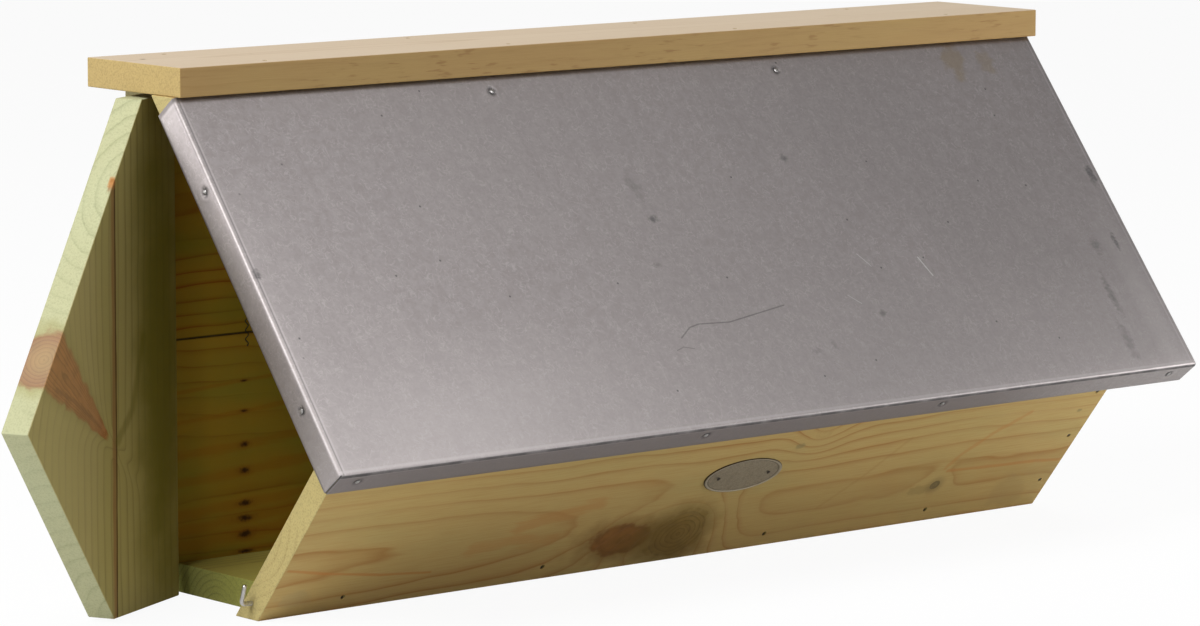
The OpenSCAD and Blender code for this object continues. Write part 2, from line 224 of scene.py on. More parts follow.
class Graph:
    """Adds nodes to one tree."""

    def __init__(self, tree):
        self.tree = tree

    def add(self, kind, settings=None, values=None, out=0):
        """A node of this kind, with its settings, then the values or links of its sockets."""
        node = self.tree.nodes.new(kind)
        for name, value in (settings or {}).items():
            if name == "stops":
                self.set_stops(node.color_ramp, value)
            elif name == "items":
                while len(node.index_switch_items) < value:
                    node.index_switch_items.new()
            else:
                setattr(node, name, value)
        for key, value in (values or {}).items():
            links = value if isinstance(value, list) else [value]
            for link in links:
                if isinstance(link, Socket):
                    self.tree.links.new(link.output, node.inputs[key])
                else:
                    node.inputs[key].default_value = link
        return Socket(self, node.outputs[out]) if len(node.outputs) else None

    @staticmethod
    def set_stops(ramp, stops):
        """Gives a ramp its stops, each a place from 0 to 1 and a grey or a colour."""
        while len(ramp.elements) < len(stops):
            ramp.elements.new(1.0)
        for element, (place, value) in zip(ramp.elements, stops):
            element.position = place
            element.color = (*value, 1) if isinstance(value, tuple) else (value, value, value, 1)

    def math(self, operation, *terms, clamp=False):
        settings = {"operation": operation, "use_clamp": clamp}
        return self.add("ShaderNodeMath", settings, dict(enumerate(terms)))

    def vector(self, operation, *terms):
        out = "Value" if operation in ("DOT_PRODUCT", "LENGTH", "DISTANCE") else "Vector"
        return self.add("ShaderNodeVectorMath", {"operation": operation}, dict(enumerate(terms)), out)

    def scaled(self, vector, factor):
        return self.add("ShaderNodeVectorMath", {"operation": "SCALE"}, {0: vector, 3: factor})

    def join(self, x, y, z):
        return self.add("ShaderNodeCombineXYZ", None, {0: x, 1: y, 2: z})

    def split(self, vector):
        first = self.add("ShaderNodeSeparateXYZ", None, {0: vector})
        return first, first.also("Y"), first.also("Z")

    def most(self, masks):
        """The greatest of some masks."""
        total = masks[0]
        for mask in masks[1:]:
            total = self.math("MAXIMUM", total, mask)
        return total

    def mix(self, factor, a, b):
        """A colour between a and b."""
        a, b = (end if isinstance(end, Socket) else (*end, 1) for end in (a, b))
        return self.add("ShaderNodeMix", {"data_type": "RGBA"}, {0: factor, 6: a, 7: b}, 2)

    def fade(self, value, start, finish):
        """0 at start and 1 at finish, with soft ends."""
        settings = {"interpolation_type": "SMOOTHSTEP"}
        return self.add("ShaderNodeMapRange", settings, {0: value, 1: start, 2: finish})

    def ramp(self, stops, value):
        """What a ramp of greys shows at a value from 0 to 1."""
        return self.add("ShaderNodeValToRGB", {"stops": stops}, {0: value})

    def noise(self, vector, scale, detail=2.0, roughness=0.5, distortion=0.0):
        """Smooth noise from 0 to 1, with scale as its waves in a metre."""
        names = ("Vector", "Scale", "Detail", "Roughness", "Distortion")
        values = dict(zip(names, (vector, scale, detail, roughness, distortion)))
        return self.add("ShaderNodeTexNoise", None, values)


METAL_SHINE = 0.5
WOOD_SHINE = 0.2


class Finish(Graph):
    """A material, its tree and its one surface shader. Its colour is what is laid on so far."""

    def __init__(self, name, colour, metallic=0.0):
        self.material = bpy.data.materials.new(name)
        self.material.use_nodes = True
        super().__init__(self.material.node_tree)
        self.colour = colour
        self.shader = self.tree.nodes["Principled BSDF"]
        self.shader.inputs["Metallic"].default_value = metallic
        self.shader.inputs["Specular IOR Level"].default_value = METAL_SHINE if metallic else WOOD_SHINE
        self.object_point = self.add("ShaderNodeTexCoord", out="Object")
        self.object_normal = self.object_point.also("Normal")

    def on(self, board):
        """The surface point in a board's own measures."""
        values = {"Vector": self.object_point, "Location": board.origin, "Rotation": board.turn}
        return self.add("ShaderNodeMapping", {"vector_type": "TEXTURE"}, values)

    def lay(self, mask, colour, weight=1.0):
        """Lays a colour on, where the mask is 1 and as strongly as the weight says."""
        self.colour = self.mix(mask * weight, self.colour, colour)

    def close(self, roughness, height, depth):
        """Links colour, roughness and small relief: height runs from 0 to 1, depth is in metres."""
        values = {"Height": height, "Distance": depth, "Strength": 1.0}
        bump = self.add("ShaderNodeBump", None, values, "Normal")
        for name, socket in {"Base Color": self.colour, "Roughness": roughness, "Normal": bump}.items():
            self.tree.links.new(socket.output, self.shader.inputs[name])
        return self.material


# %% [markdown]
# Sawn timber shows the same growth rings on every face: as long flames on a broad face and
# as arcs on an end. A flat picture of grain can't do that, so the grain here is solid. Each
# board knows where the heart of its log lay. The distance from that heart, divided by the
# ring spacing, gives pale early wood and an orange late line in every ring. A knot is the
# cone of a branch through the same solid: it pushes the rings aside and carries its own.

# %% Growth rings
RING_PROFILE = [(0.0, 0.14), (0.14, 0.0), (0.62, 0.04), (0.84, 0.42), (0.94, 1.0), (1.0, 0.14)]
KNOT_PROFILE = [(0.0, 0.15), (0.55, 0.35), (0.9, 1.0), (1.0, 0.15)]

# Noises that are drawn out along the grain: waves in a metre along it and across it, detail.
PATCHES = (3.0, 14, 3.0)
CLOUDS = (7, 22, 3.0)
FIBRES = (32.5, 1300, 3.0)
FLECKS = (55, 430, 2.0)
FLECK_ZONES = (9, 30, 1.0)
RAGGED = (8, 160, 2.0)
DRIFT_WAVES = 2.6
SWAY_WAVES = 2.1
LOOSE_WAVES = 38


def knot_distance(finish, point, knot):
    """How far a point lies from a branch's axis in branch radii, and its distance along."""
    start = Vector(knot["start"])
    run = Vector(knot["end"]) - start
    offset = finish.vector("SUBTRACT", point, tuple(start))
    along = finish.vector("DOT_PRODUCT", offset, tuple(run.normalized()))
    foot = finish.scaled(tuple(run.normalized()), along)
    aside = finish.vector("LENGTH", finish.vector("SUBTRACT", offset, foot))
    near, far = knot["radii"]
    radius = finish.math("MAXIMUM", along, 0.0) * ((far - near) / run.length) + near
    return aside / radius, along


def drawn_out(finish, parts, kind, seed=0.0, roughness=0.5):
    """Noise of one of the kinds that are drawn out along the grain."""
    along, across, out = parts
    along_scale, cross_scale, detail = kind
    place = finish.join(along * along_scale + seed, across * cross_scale, out * cross_scale)
    return finish.noise(place, 1.0, detail, roughness)


def late_wood(finish, parts, heart, spacing, looks, knots):
    """The share of late wood at a point, from its distance to the heart of the log."""
    along, across, out = parts
    seed = looks["seed"]
    drift = finish.noise(finish.join(along * DRIFT_WAVES + seed, 0.0, seed), 1.0, 1.0) - 0.5
    sway = finish.noise(finish.join(along * SWAY_WAVES, seed, 3.0), 1.0, 1.0) - 0.5
    side = across - heart[0] + drift * looks["wander"]
    deep = out - heart[1] + sway * looks["wander"]
    radius = (side * side + deep * deep) ** 0.5
    for knot, distance, _ in knots:
        bulge = finish.math("EXPONENT", distance * distance * -knot["spread"])
        radius = radius + bulge * knot["push"]
    loose = finish.noise(finish.join(along * 0.3, across, out), LOOSE_WAVES, 2.0) - 0.5
    ragged = drawn_out(finish, parts, RAGGED) - 0.5
    turns = radius / spacing + loose * looks.get("unrest", 0.9) + ragged * 0.16
    return finish.ramp(RING_PROFILE, finish.math("FRACT", turns))


def lay_knot(finish, point, knot, distance, reach_along, cut):
    """Lays on one knot, its rings, its dark rim and the stained wood round it."""
    shape = distance + (finish.noise(point, 90, 3.0) - 0.5) * knot.get("ragged", 0.35)
    inside_log = finish.fade(reach_along, -0.003, 0.003)
    mask = finish.fade(shape, 1.08, 0.80) * inside_log
    turns = distance * knot["rings"] + finish.noise(point, 70, 2.0) * 1.1
    band = finish.ramp(KNOT_PROFILE, finish.math("FRACT", turns))
    blotch = finish.fade(finish.noise(point, 110, 4.0), 0.35, 0.7)
    share = band * knot.get("banding", 0.5) + blotch * 0.4
    inside = finish.mix(share, knot["pale"], knot["dark"])
    if "sawn" in knot:
        ringed = finish.fade(distance, 0.15, 0.80) * 0.65 + band * 0.35
        inside = finish.mix(cut, inside, finish.mix(ringed, *knot["sawn"]))
    rim = finish.fade(shape, 0.70, 0.98) * finish.fade(shape, 1.12, 1.0)
    halo = finish.fade(shape, knot.get("far", 2.2), 0.9) * inside_log
    finish.lay(halo, knot["around"], knot.get("halo", 0.35))
    finish.lay(mask, inside, knot.get("weight", 0.9))
    finish.lay(rim * mask, knot["dark"], knot["rim"])


# %% Marks on a surface
STREAK_STRETCH = 0.16
RAGGED_WAVES = 260
THROUGH = 0.1
SOFT_DEPTH = 0.001


def near_line(finish, point, path, width, rough, grain=1.0):
    """1 on a line through these points, fading to 0 at its width, with a ragged edge."""
    stretched = finish.vector("MULTIPLY", point, (grain, 1.0, 1.0))
    shake = (finish.noise(stretched, RAGGED_WAVES, 3.0) - 0.5) * rough
    masks = []
    for (x0, y0), (x1, y1) in zip(path, path[1:]):
        run = Vector((x1 - x0, y1 - y0, 0.0))
        offset = finish.vector("SUBTRACT", point, (x0, y0, 0.0))
        share = finish.vector("DOT_PRODUCT", offset, tuple(run / run.length_squared))
        share = finish.math("MULTIPLY", share, 1.0, clamp=True)
        gap = finish.vector("SUBTRACT", offset, finish.scaled(tuple(run), share))
        masks.append(finish.fade(finish.vector("LENGTH", gap) / width + shake, 1.0, 0.2))
    return finish.most(masks)


def blot(finish, point, centre, size, rough=0.6, soft=0.45):
    """1 in an oval blot, fading to 0 at its ragged edge."""
    scale = (1 / size[0], 1 / size[1], 0.0)
    offset = finish.vector("SUBTRACT", point, (*centre, 0.0))
    spread = finish.vector("LENGTH", finish.vector("MULTIPLY", offset, scale))
    shake = (finish.noise(point, 1.3 / min(size), 4.0) - 0.5) * 2 * rough
    return finish.fade(spread + shake, 1.0, soft)


def lay_marks(finish, parts, streaks, dots):
    """Streaks and blots, each from the outer face down to its own depth."""
    along, across, out = parts
    flat = finish.join(along, across, 0.0)
    found = [
        (weight, colour, near_line(finish, flat, path, width, rough, STREAK_STRETCH), deep)
        for path, width, weight, colour, rough, deep in streaks
    ] + [
        (weight, colour, blot(finish, flat, at, size, *edge), deep)
        for at, size, weight, colour, deep, *edge in dots
    ]
    for weight, colour, mask, deep in found:
        finish.lay(mask * finish.fade(out, -deep, SOFT_DEPTH - deep), colour, weight)


# %% Solid wood
WOOD_RELIEF = 0.00018


def wood(name, board, heart, spacing, early, late, **looks):
    """Softwood: heart is where the log's middle lies, across and out of the board's face."""
    finish = Finish(name, early)
    point = finish.on(board)
    parts = finish.split(point)
    seed = looks["seed"]
    knots = [(knot, *knot_distance(finish, point, knot)) for knot in looks.get("knots", [])]
    late_share = late_wood(finish, parts, heart, spacing, looks, knots)
    patch = drawn_out(finish, parts, PATCHES, seed)
    lines = late_share * (finish.fade(patch, 0.26, 0.60) * looks["lines"] + 0.10)
    finish.lay(lines, late)
    tinted = finish.fade(drawn_out(finish, parts, CLOUDS, seed), 0.40, 0.72) * looks["tinting"]
    finish.lay(tinted, looks["tint"])
    fibre = drawn_out(finish, parts, FIBRES, roughness=0.65)
    finish.lay(finish.fade(fibre, 0.38, 0.72), looks.get("fibre", late), 0.24)
    if "flecks" in looks:
        fleck = finish.fade(drawn_out(finish, parts, FLECKS, seed), 0.56, 0.70)
        zone = finish.fade(drawn_out(finish, parts, FLECK_ZONES, seed), 0.42, 0.62)
        finish.lay(fleck * zone, looks["fleck"], looks["flecks"])
    # Faces that look along the board's out take their own colour: on the ridge's top it is partly painted light,
    # on faces that look into the box it is painted shade.
    if "face" in looks:
        facing = finish.vector("DOT_PRODUCT", finish.object_normal, tuple(board.out))
        lined = finish.mix(lines, looks["face"], looks["face_late"])
        lined = finish.mix(tinted, lined, looks.get("face_tint", looks["face"]))
        finish.lay(finish.fade(facing, 0.55, 0.85), lined, looks["facing"])
    ends = abs(finish.vector("DOT_PRODUCT", finish.object_normal, tuple(board.along)))
    cut = finish.fade(ends, 0.35, 0.75)
    speck = finish.noise(point, 850, 3.0, 0.7)
    sawn = looks.get("cut", early)
    pits = finish.fade(speck, 0.44, 0.66) * 0.48 + lines * looks.get("arcs", 0.25)
    finish.lay(cut, finish.mix(pits, sawn, tuple(part * 0.5 for part in sawn)), 0.8)
    for knot, distance, reach_along in knots:
        lay_knot(finish, point, knot, distance, reach_along, cut)
    lay_marks(finish, parts, looks.get("streaks", []), looks.get("dots", []))
    rough = 0.64 + late_share * -0.10 + cut * 0.15
    return finish.close(rough, fibre * 0.5 + late_share * 0.35 + cut * speck * 0.9, WOOD_RELIEF)


# %% [markdown]
# The boards are the same softwood in two moods. The front, roof and ridge are a warm straw
# yellow. The door, floor, end and back have taken up more green preservative. The faces
# that look into the box are darker and browner, which is painted shade, and the ridge's top
# is paler, partly its own tone and partly painted light. Colours are linear red, green and
# blue. Knots and marks lie where the photograph shows them, in the board's own measures,
# along and across. A streak is its path, width, weight, colour, roughness and depth. A dot
# is its place, size, weight, colour and depth, and may end with its own roughness and softness.

# %% Wood of the front board
STRAW = (0.51, 0.37, 0.142)
STRAW_LATE = (0.36, 0.170, 0.040)
STRAW_GREEN = (0.44, 0.355, 0.138)
SAWN = (0.50, 0.425, 0.185)
ORANGE = (0.48, 0.20, 0.05)
MURKY = (0.155, 0.085, 0.010)

front_knots = [
    dict(start=(-0.006, 0.023, -0.034), end=(-0.053, 0.0275, 0.001), radii=(0.008, 0.0150), push=0.014,
         pale=(0.29, 0.115, 0.024), dark=(0.11, 0.038, 0.008), around=(0.25, 0.15, 0.040), spread=0.22,
         rings=1.6, ragged=0.9, halo=0.6, far=1.7, rim=0.35, weight=0.8, banding=0.35),
    dict(start=(0.004, 0.024, -0.040), end=(-0.006, 0.0245, 0.001), radii=(0.012, 0.0230), push=0.036,
         pale=(0.33, 0.215, 0.056), dark=(0.12, 0.075, 0.016), around=(0.22, 0.155, 0.040), spread=0.30,
         rings=6, ragged=0.7, halo=0.55, far=1.7, rim=0.1, weight=0.68, banding=0.8),
    dict(start=(0.208, 0.034, -0.030), end=(0.212, 0.036, 0.001), radii=(0.003, 0.0042), push=0.007,
         pale=(0.24, 0.18, 0.075), dark=(0.09, 0.07, 0.03), around=(0.26, 0.20, 0.08), spread=0.12,
         rings=2, halo=0.5, far=2.6, rim=0.6),
    dict(start=(0.072, 0.104, -0.030), end=(0.074, 0.106, 0.001), radii=(0.003, 0.0075), push=0.014,
         pale=STRAW, dark=(0.38, 0.24, 0.08), around=STRAW, spread=0.10, rings=2, weight=0.35, rim=0.2),
]
front_streaks = [
    ([(-0.180, 0.039), (-0.150, 0.042), (-0.118, 0.038)], 0.0085, 0.30, ORANGE, 1.7, 0.006),
    ([(-0.150, 0.054), (-0.120, 0.060), (-0.092, 0.067)], 0.0085, 0.36, ORANGE, 1.7, 0.006),
    ([(-0.322, 0.0440), (-0.290, 0.036), (-0.245, 0.0275), (-0.205, 0.023)],
     0.0017, 0.65, ORANGE, 0.8, 0.004),
    ([(0.216, 0.0490), (0.260, 0.047), (0.300, 0.046), (0.322, 0.044)], 0.0022, 0.55, ORANGE, 0.9, 0.004),
    ([(0.212, 0.0520), (0.219, 0.064), (0.238, 0.082), (0.262, 0.098)], 0.0030, 0.38, ORANGE, 1.2, 0.004),
    ([(-0.060, 0.112), (0.040, 0.118), (0.110, 0.112), (0.200, 0.120), (0.300, 0.124)],
     0.0032, 0.40, ORANGE, 1.2, 0.004),
    ([(0.110, 0.030), (0.135, 0.055), (0.160, 0.088)], 0.0022, 0.22, (0.36, 0.20, 0.06), 1.2, 0.004),
]
front_dots = [
    ((-0.026, 0.024), (0.058, 0.030), 0.50, MURKY, 0.02, 0.35, 0.2),
    ((0.004, 0.008), (0.036, 0.014), 0.35, MURKY, 0.02, 0.5, 0.2),
    ((0.0584, 0.0955), (0.005, 0.0035), 0.5, (0.20, 0.19, 0.09), 0.004),
    ((0.200, 0.033), (0.014, 0.006), 0.3, (0.22, 0.17, 0.06), 0.004),
    ((0.287, 0.018), (0.024, 0.020), 0.30, (0.34, 0.24, 0.10), 0.004),
    ((0.310, 0.093), (0.003, 0.002), 0.6, (0.22, 0.19, 0.08), 0.004),
    ((-0.305, 0.016), (0.016, 0.010), 0.35, (0.36, 0.30, 0.15), 0.004),
]
front_wood = wood("planed_pine_front", front, (0.043, -0.050), 0.0074, STRAW, STRAW_LATE,
                  tint=STRAW_GREEN, tinting=0.55, lines=0.85, wander=0.022, seed=2.0, unrest=0.8,
                  knots=front_knots, streaks=front_streaks, dots=front_dots, cut=SAWN)

# %% Wood of the ridge and the roof
WARM = (0.395, 0.252, 0.094)
WARM_LATE = (0.33, 0.190, 0.060)

ridge_dots = [
    ((-0.3346, 0.0635), (0.0030, 0.0026), 1.0, (0.05, 0.03, 0.015), 0.003, 0.4, 0.2),
    ((-0.262, 0.052), (0.0020, 0.0020), 0.3, (0.25, 0.18, 0.10), 0.003),
]
# The ridge's top face (face) is paler than its front: partly the wood's own tone, partly painted light from above.
ridge_wood = wood("planed_pine_ridge", ridge, (0.050, -0.030), 0.0036, WARM, WARM_LATE,
                  tint=(0.41, 0.280, 0.100), tinting=0.5, lines=0.30, wander=0.030, seed=7.0,
                  face=(0.60, 0.490, 0.365), face_late=WARM_LATE, facing=0.95, cut=(0.51, 0.38, 0.150),
                  fibre=(0.29, 0.165, 0.055), flecks=0.55, fleck=(0.24, 0.12, 0.04), dots=ridge_dots)

roof_wood = wood("planed_pine_roof", roof, (0.120, -0.060), 0.0045, STRAW, STRAW_LATE,
                 tint=STRAW_GREEN, tinting=0.4, lines=0.6, wander=0.012, seed=11.0, cut=SAWN)

# %% Wood of the back
TREATED = (0.47, 0.415, 0.205)
TREATED_LATE = (0.33, 0.245, 0.090)
TREATED_TINT = (0.42, 0.415, 0.215)
# Ochre colours for the faces that look into the box: painted shade, darker and warmer than the treated pine
# itself.
OCHRE = (0.34, 0.205, 0.016)
OCHRE_LATE = (0.24, 0.080, 0.004)
OCHRE_GREEN = (0.225, 0.205, 0.018)

joint_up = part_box("back_board_lower")[1].z - base_z
joint_line = [
    ([(body_left, joint_up), (body_right, joint_up)], 0.0012, 0.9, (0.020, 0.012, 0.004), 0.3, THROUGH),
]
upper_wood = wood("treated_pine_back_upper", back, (0.236, 0.022), 0.0080, TREATED, TREATED_LATE,
                  tint=TREATED_TINT, tinting=0.85, lines=1.0, wander=0.018, seed=15.0, streaks=joint_line,
                  face=OCHRE, face_late=OCHRE_LATE, face_tint=OCHRE_GREEN, facing=1.0)

MARKS_AT = -0.2547
mark_sizes = {
    0.0195: (0.0080, 0.0018), 0.0305: (0.0068, 0.0034), 0.0405: (0.0072, 0.0028),
    0.0500: (0.0066, 0.0026), 0.0705: (0.0052, 0.0028), 0.0870: (0.0044, 0.0024),
    0.1080: (0.0040, 0.0013), 0.1270: (0.0034, 0.0010),
}
lower_dots = [
    ((MARKS_AT, up), (wide * 1.9, tall * 1.7), 0.55, (0.20, 0.075, 0.008), 0.006, 0.4, 0.0)
    for up, (wide, tall) in mark_sizes.items()
] + [
    ((MARKS_AT, up), size, 0.92, (0.035, 0.013, 0.005), 0.006, 0.5, 0.15)
    for up, size in mark_sizes.items()
]
lower_streaks = joint_line + [
    ([(-0.320, up - 0.004), (MARKS_AT, up), (-0.180, up + 0.005)], tall * 1.9, 0.42,
     (0.33, 0.125, 0.008), 1.3, 0.006)
    for up, (wide, tall) in mark_sizes.items()
]
# The lower board's inner face colour is painted shade too.
lower_wood = wood("treated_pine_back_lower", back, (0.078, 0.026), 0.0088, TREATED, TREATED_LATE,
                  tint=TREATED_TINT, tinting=0.9, lines=0.8, wander=0.024, seed=19.0,
                  face=(0.36, 0.225, 0.020), face_late=OCHRE_LATE, face_tint=(0.25, 0.235, 0.026),
                  facing=1.0, dots=lower_dots, streaks=lower_streaks)

# %% Wood of the floor, the fixed end and the door
GREEN = (0.485, 0.480, 0.285)
GREEN_LATE = (0.42, 0.43, 0.22)
GREEN_TINT = (0.52, 0.56, 0.36)
SHADED = (0.412, 0.336, 0.098)
SHADED_LATE = (0.22, 0.165, 0.040)

floor_wood = wood("treated_pine_floor", floor_top, (0.060, -0.030), 0.0042, (0.38, 0.325, 0.075),
                  (0.22, 0.17, 0.030), tint=(0.30, 0.30, 0.075), tinting=0.5, lines=0.8, wander=0.012,
                  seed=23.0, cut=(0.32, 0.335, 0.085), arcs=0.8)

end_wood = wood("treated_pine_end", end, (0.070, 0.020), 0.0048, GREEN, GREEN_LATE,
                tint=GREEN_TINT, tinting=0.5, lines=0.8, wander=0.014, seed=27.0)

door_knots = [
    dict(start=(0.1135, 0.0897, 0.001), end=(0.1672, 0.1527, -0.006), radii=(0.0025, 0.0200), push=0.012,
         pale=(0.54, 0.185, 0.050), dark=(0.25, 0.065, 0.016), around=(0.30, 0.255, 0.07), spread=0.30,
         rings=8, rim=0.30, halo=0.45, far=1.6, ragged=0.7, weight=0.82, banding=0.85,
         sawn=((0.37, 0.275, 0.155), (0.25, 0.140, 0.105))),
]
door_streaks = [
    ([(0.0, 0.0815), (0.10, 0.0805), (0.20, 0.0795), (0.31, 0.0790)],
     0.0040, 0.75, (0.28, 0.135, 0.043), 0.9, 0.003),
    ([(0.0, 0.0795), (0.10, 0.0780), (0.20, 0.0775), (0.31, 0.0765)],
     0.0013, 0.95, (0.09, 0.045, 0.012), 0.6, 0.003),
    ([(0.109, 0.0765), (0.1251, 0.0575), (0.168, 0.0430)], 0.0050, 0.42, (0.15, 0.125, 0.012), 0.9, 0.003),
    ([(0.121, 0.0975), (0.140, 0.128), (0.150, 0.150)], 0.0022, 0.55, (0.20, 0.075, 0.026), 1.1, 0.003),
    ([(0.118, 0.0925), (0.134, 0.112), (0.158, 0.134)], 0.0018, 0.55, (0.46, 0.200, 0.070), 1.1, 0.003),
]
door_dots = [
    ((0.2665, 0.0785), (0.0065, 0.0045), 0.75, ORANGE, 0.004),
    # A paler patch over the half of the inner face away from the hinge: painted light.
    ((0.130, 0.145), (0.210, 0.062), 0.25, (0.52, 0.42, 0.200), 0.0009, 0.25, 0.6),
    # A dark patch along the hinge side of the inner face: painted shade.
    ((0.160, 0.022), (0.260, 0.045), 0.88, (0.165, 0.140, 0.008), 0.0009, 0.3, 0.2),
]
door_wood = wood("treated_pine_door", door, (0.079, 0.004), 0.0078, GREEN, GREEN_LATE,
                 tint=GREEN_TINT, tinting=0.6, lines=0.9, wander=0.010, seed=31.0, unrest=0.6,
                 knots=door_knots, streaks=door_streaks, dots=door_dots, cut=(0.49, 0.495, 0.29),
                 arcs=0.60, face=SHADED, face_late=SHADED_LATE, facing=0.9)

print("wood finishes:", len([m for m in bpy.data.materials if "pine" in m.name]))

# %% [markdown]
# A sawn and planed board never has razor edges: the maker takes the arris off with one
# stroke of sandpaper. The frame's own solid gives each board its cuts and nail holes. A
# copy of it is welded, its flat faces are joined, and only the long edges are rounded, so
# that every nail hole stays crisp. Rebuilding each outline by hand would give no more.


# %% Eased boards
ARRIS = 0.7 * MM
ARRIS_STEPS = 3
LONG_EDGE = 9 * MM
FLAT_ANGLE = math.radians(0.5)
SHARP_ANGLE = math.radians(25)
WELD = 0.002 * MM


def welded(node):
    """A welded copy of a node's loose triangles."""
    mesh = bmesh.new()
    mesh.from_mesh(nodes[node].data)
    bmesh.ops.remove_doubles(mesh, verts=mesh.verts, dist=WELD)
    return mesh


def eased(node):
    """A welded copy of a board with its flat faces joined and its long sharp edges rounded."""
    mesh = welded(node)
    bmesh.ops.dissolve_limit(mesh, angle_limit=FLAT_ANGLE, verts=mesh.verts, edges=mesh.edges)
    edges = [edge for edge in mesh.edges if edge.is_manifold
             and edge.calc_face_angle(0) > SHARP_ANGLE and edge.calc_length() > LONG_EDGE]
    bmesh.ops.bevel(mesh, geom=edges, offset=ARRIS, offset_type="OFFSET", segments=ARRIS_STEPS,
                    profile=0.5, affect="EDGES", clamp_overlap=True)
    return mesh


def add_piece(name, mesh, material, smooth_angle=None):
    """Makes a mesh an object of the scene, with one finish."""
    data = bpy.data.meshes.new(name)
    mesh.to_mesh(data)
    mesh.free()
    data.materials.append(material)
    if smooth_angle is None:
        data.shade_flat()
    else:
        data.shade_smooth()
        data.set_sharp_from_angle(angle=math.radians(smooth_angle))
    piece = bpy.data.objects.new(name, data)
    bpy.context.scene.collection.objects.link(piece)
    return piece


def stand_for(piece, node):
    """The piece rides, is finished and is shown in place of one node of the frame."""
    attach(piece, body_of[node])
    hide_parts(node)
    return piece


board_finish = {
    "ridge_board": ridge_wood,
    "roof_board": roof_wood,
    "front_board": front_wood,
    "floor_board": floor_wood,
    "back_board_upper": upper_wood,
    "back_board_lower": lower_wood,
    "end_panel": end_wood,
    "door_panel": door_wood,
}
for node, finish in board_finish.items():
    stand_for(add_piece(node + "_eased", eased(node), finish), node)
print("eased boards:", len(board_finish))

# %% [markdown]
# The roof is one sheet of dull zinc, bent down at the eave and at both ends. A box with a
# hard edge would lose the bright line that a bend catches. So the sheet is a fine grid on
# the sharp outline, and each point is then pulled onto a rounded box: it is moved to the
# nearest point of a smaller box, and out again by the bend's radius. The pins that hold
# the sheet pull small dents into it, and the skin waves a little between them.


# %% Where the pins, nails and screws lie
HEAD_EDGE = 0.98
POINT_DEPTH = 0.1 * MM


def fixings(node):
    """The measures of each fixing in a node of loose solids."""
    mesh = welded(node)
    left = set(mesh.verts)
    found = []
    while left:
        fresh = [left.pop()]
        island = set(fresh)
        while fresh:
            step = {edge.other_vert(vertex) for vertex in fresh for edge in vertex.link_edges}
            fresh = [vertex for vertex in step if vertex in left]
            left -= set(fresh)
            island |= set(fresh)
        found.append(measure_fixing(np.array([vertex.co[:] for vertex in island])))
    mesh.free()
    return sorted(found, key=lambda item: tuple(item["head"]))


def along_and_aside(points, core, axis):
    """How far points lie along an axis through core, and how far from that axis."""
    travel = (points - core) @ axis
    return travel, np.linalg.norm((points - core) - np.outer(travel, axis), axis=1)


def measure_fixing(points):
    """Head place, direction and measures of one nail-like solid, from its corner points."""
    middle = (points.min(0) + points.max(0)) / 2
    axis = np.linalg.svd(points - points.mean(0), full_matrices=False)[2][0]
    travel, aside = along_and_aside(points, middle, axis)
    if aside[travel > 0].max() < aside[travel < 0].max():
        axis = -axis
    flat = points - np.outer((points - middle) @ axis, axis)
    core = (flat.min(0) + flat.max(0)) / 2
    travel, aside = along_and_aside(points, core, axis)
    top = travel.max()
    return {
        "head": Vector(core + axis * top),
        "facing": Vector(axis),
        "Head radius": float(aside.max()),
        "Head height": float(top - travel[aside > aside.max() * HEAD_EDGE].min()),
        "Shank radius": float(aside[travel < travel.min() + POINT_DEPTH].max()),
        "Length": float(top - travel.min()),
    }


sheet_pins = fixings("sheet_pins")
print("sheet pins:", [tuple(round(c, 3) for c in roof.measure(pin["head"])) for pin in sheet_pins])

# %% The bent sheet
SHEET = 0.7 * MM
BEND = 2.2 * MM
BEND_STEPS = 4
SEAM = 0.15 * MM
SHEET_WELD = 0.01 * MM
GRID_STEP = 11 * MM
DROP_STEP = 1.5 * MM
DENT_REACH = 7 * MM
DENT_STEP = 1.2 * MM
WAVE = 0.22 * MM
WAVE_EASE = 20 * MM
WAVES_ALONG = 5.3
WAVES_UP = 6.1
DENT_DEEP = 0.42 * MM
DENT_WIDE = 2.9 * MM
DENT_RIM = 0.20 * MM
DENT_RIM_AT = 4.8 * MM
DENT_RIM_WIDE = 1.5 * MM
half_length = roof_length / 2


def places(low, high, step, centres=()):
    """Places from low to high, a step apart, and finer round the centres."""
    count = max(1, round((high - low) / step))
    found = {round(low + (high - low) * i / count, 6) for i in range(count + 1)}
    for centre in centres:
        found = {place for place in found if abs(place - centre) > DENT_REACH or place in (low, high)}
        finer = np.arange(centre - DENT_REACH, centre + DENT_REACH + DENT_STEP / 2, DENT_STEP)
        found |= {round(float(place), 6) for place in finer if low < place < high}
    return sorted(found)


pin_at = [roof.measure(pin["head"]) for pin in sheet_pins]
eave_pins = [p for p in pin_at if p.y < BEND]
side_pins = [p for p in pin_at if abs(p.x) > half_length - BEND]
top_pins = [p for p in pin_at if p not in eave_pins and p not in side_pins]
from_fold = [BEND * (1 - math.tan(math.pi / 4 * i / BEND_STEPS)) for i in range(BEND_STEPS + 1)]
columns = sorted(set(
    [-half_length + gap for gap in from_fold] + [half_length - gap for gap in from_fold]
    + places(-half_length + BEND, half_length - BEND, GRID_STEP, [p.x for p in top_pins + eave_pins])))
rows = sorted(set(from_fold + places(BEND, roof_width, GRID_STEP, [p.y for p in top_pins + side_pins])))
drops = sorted(set(from_fold + places(BEND, fold_depth, DROP_STEP)))


def rounded(x, up, out):
    """Pulls a point of the sharp outline onto the bent sheet."""
    inner = Vector((
        min(max(x, -half_length + BEND), half_length - BEND), max(up, BEND), min(out, -BEND)))
    offset = Vector((x, up, out)) - inner
    if offset.length < 1e-9:
        return inner
    return inner + offset.normalized() * BEND


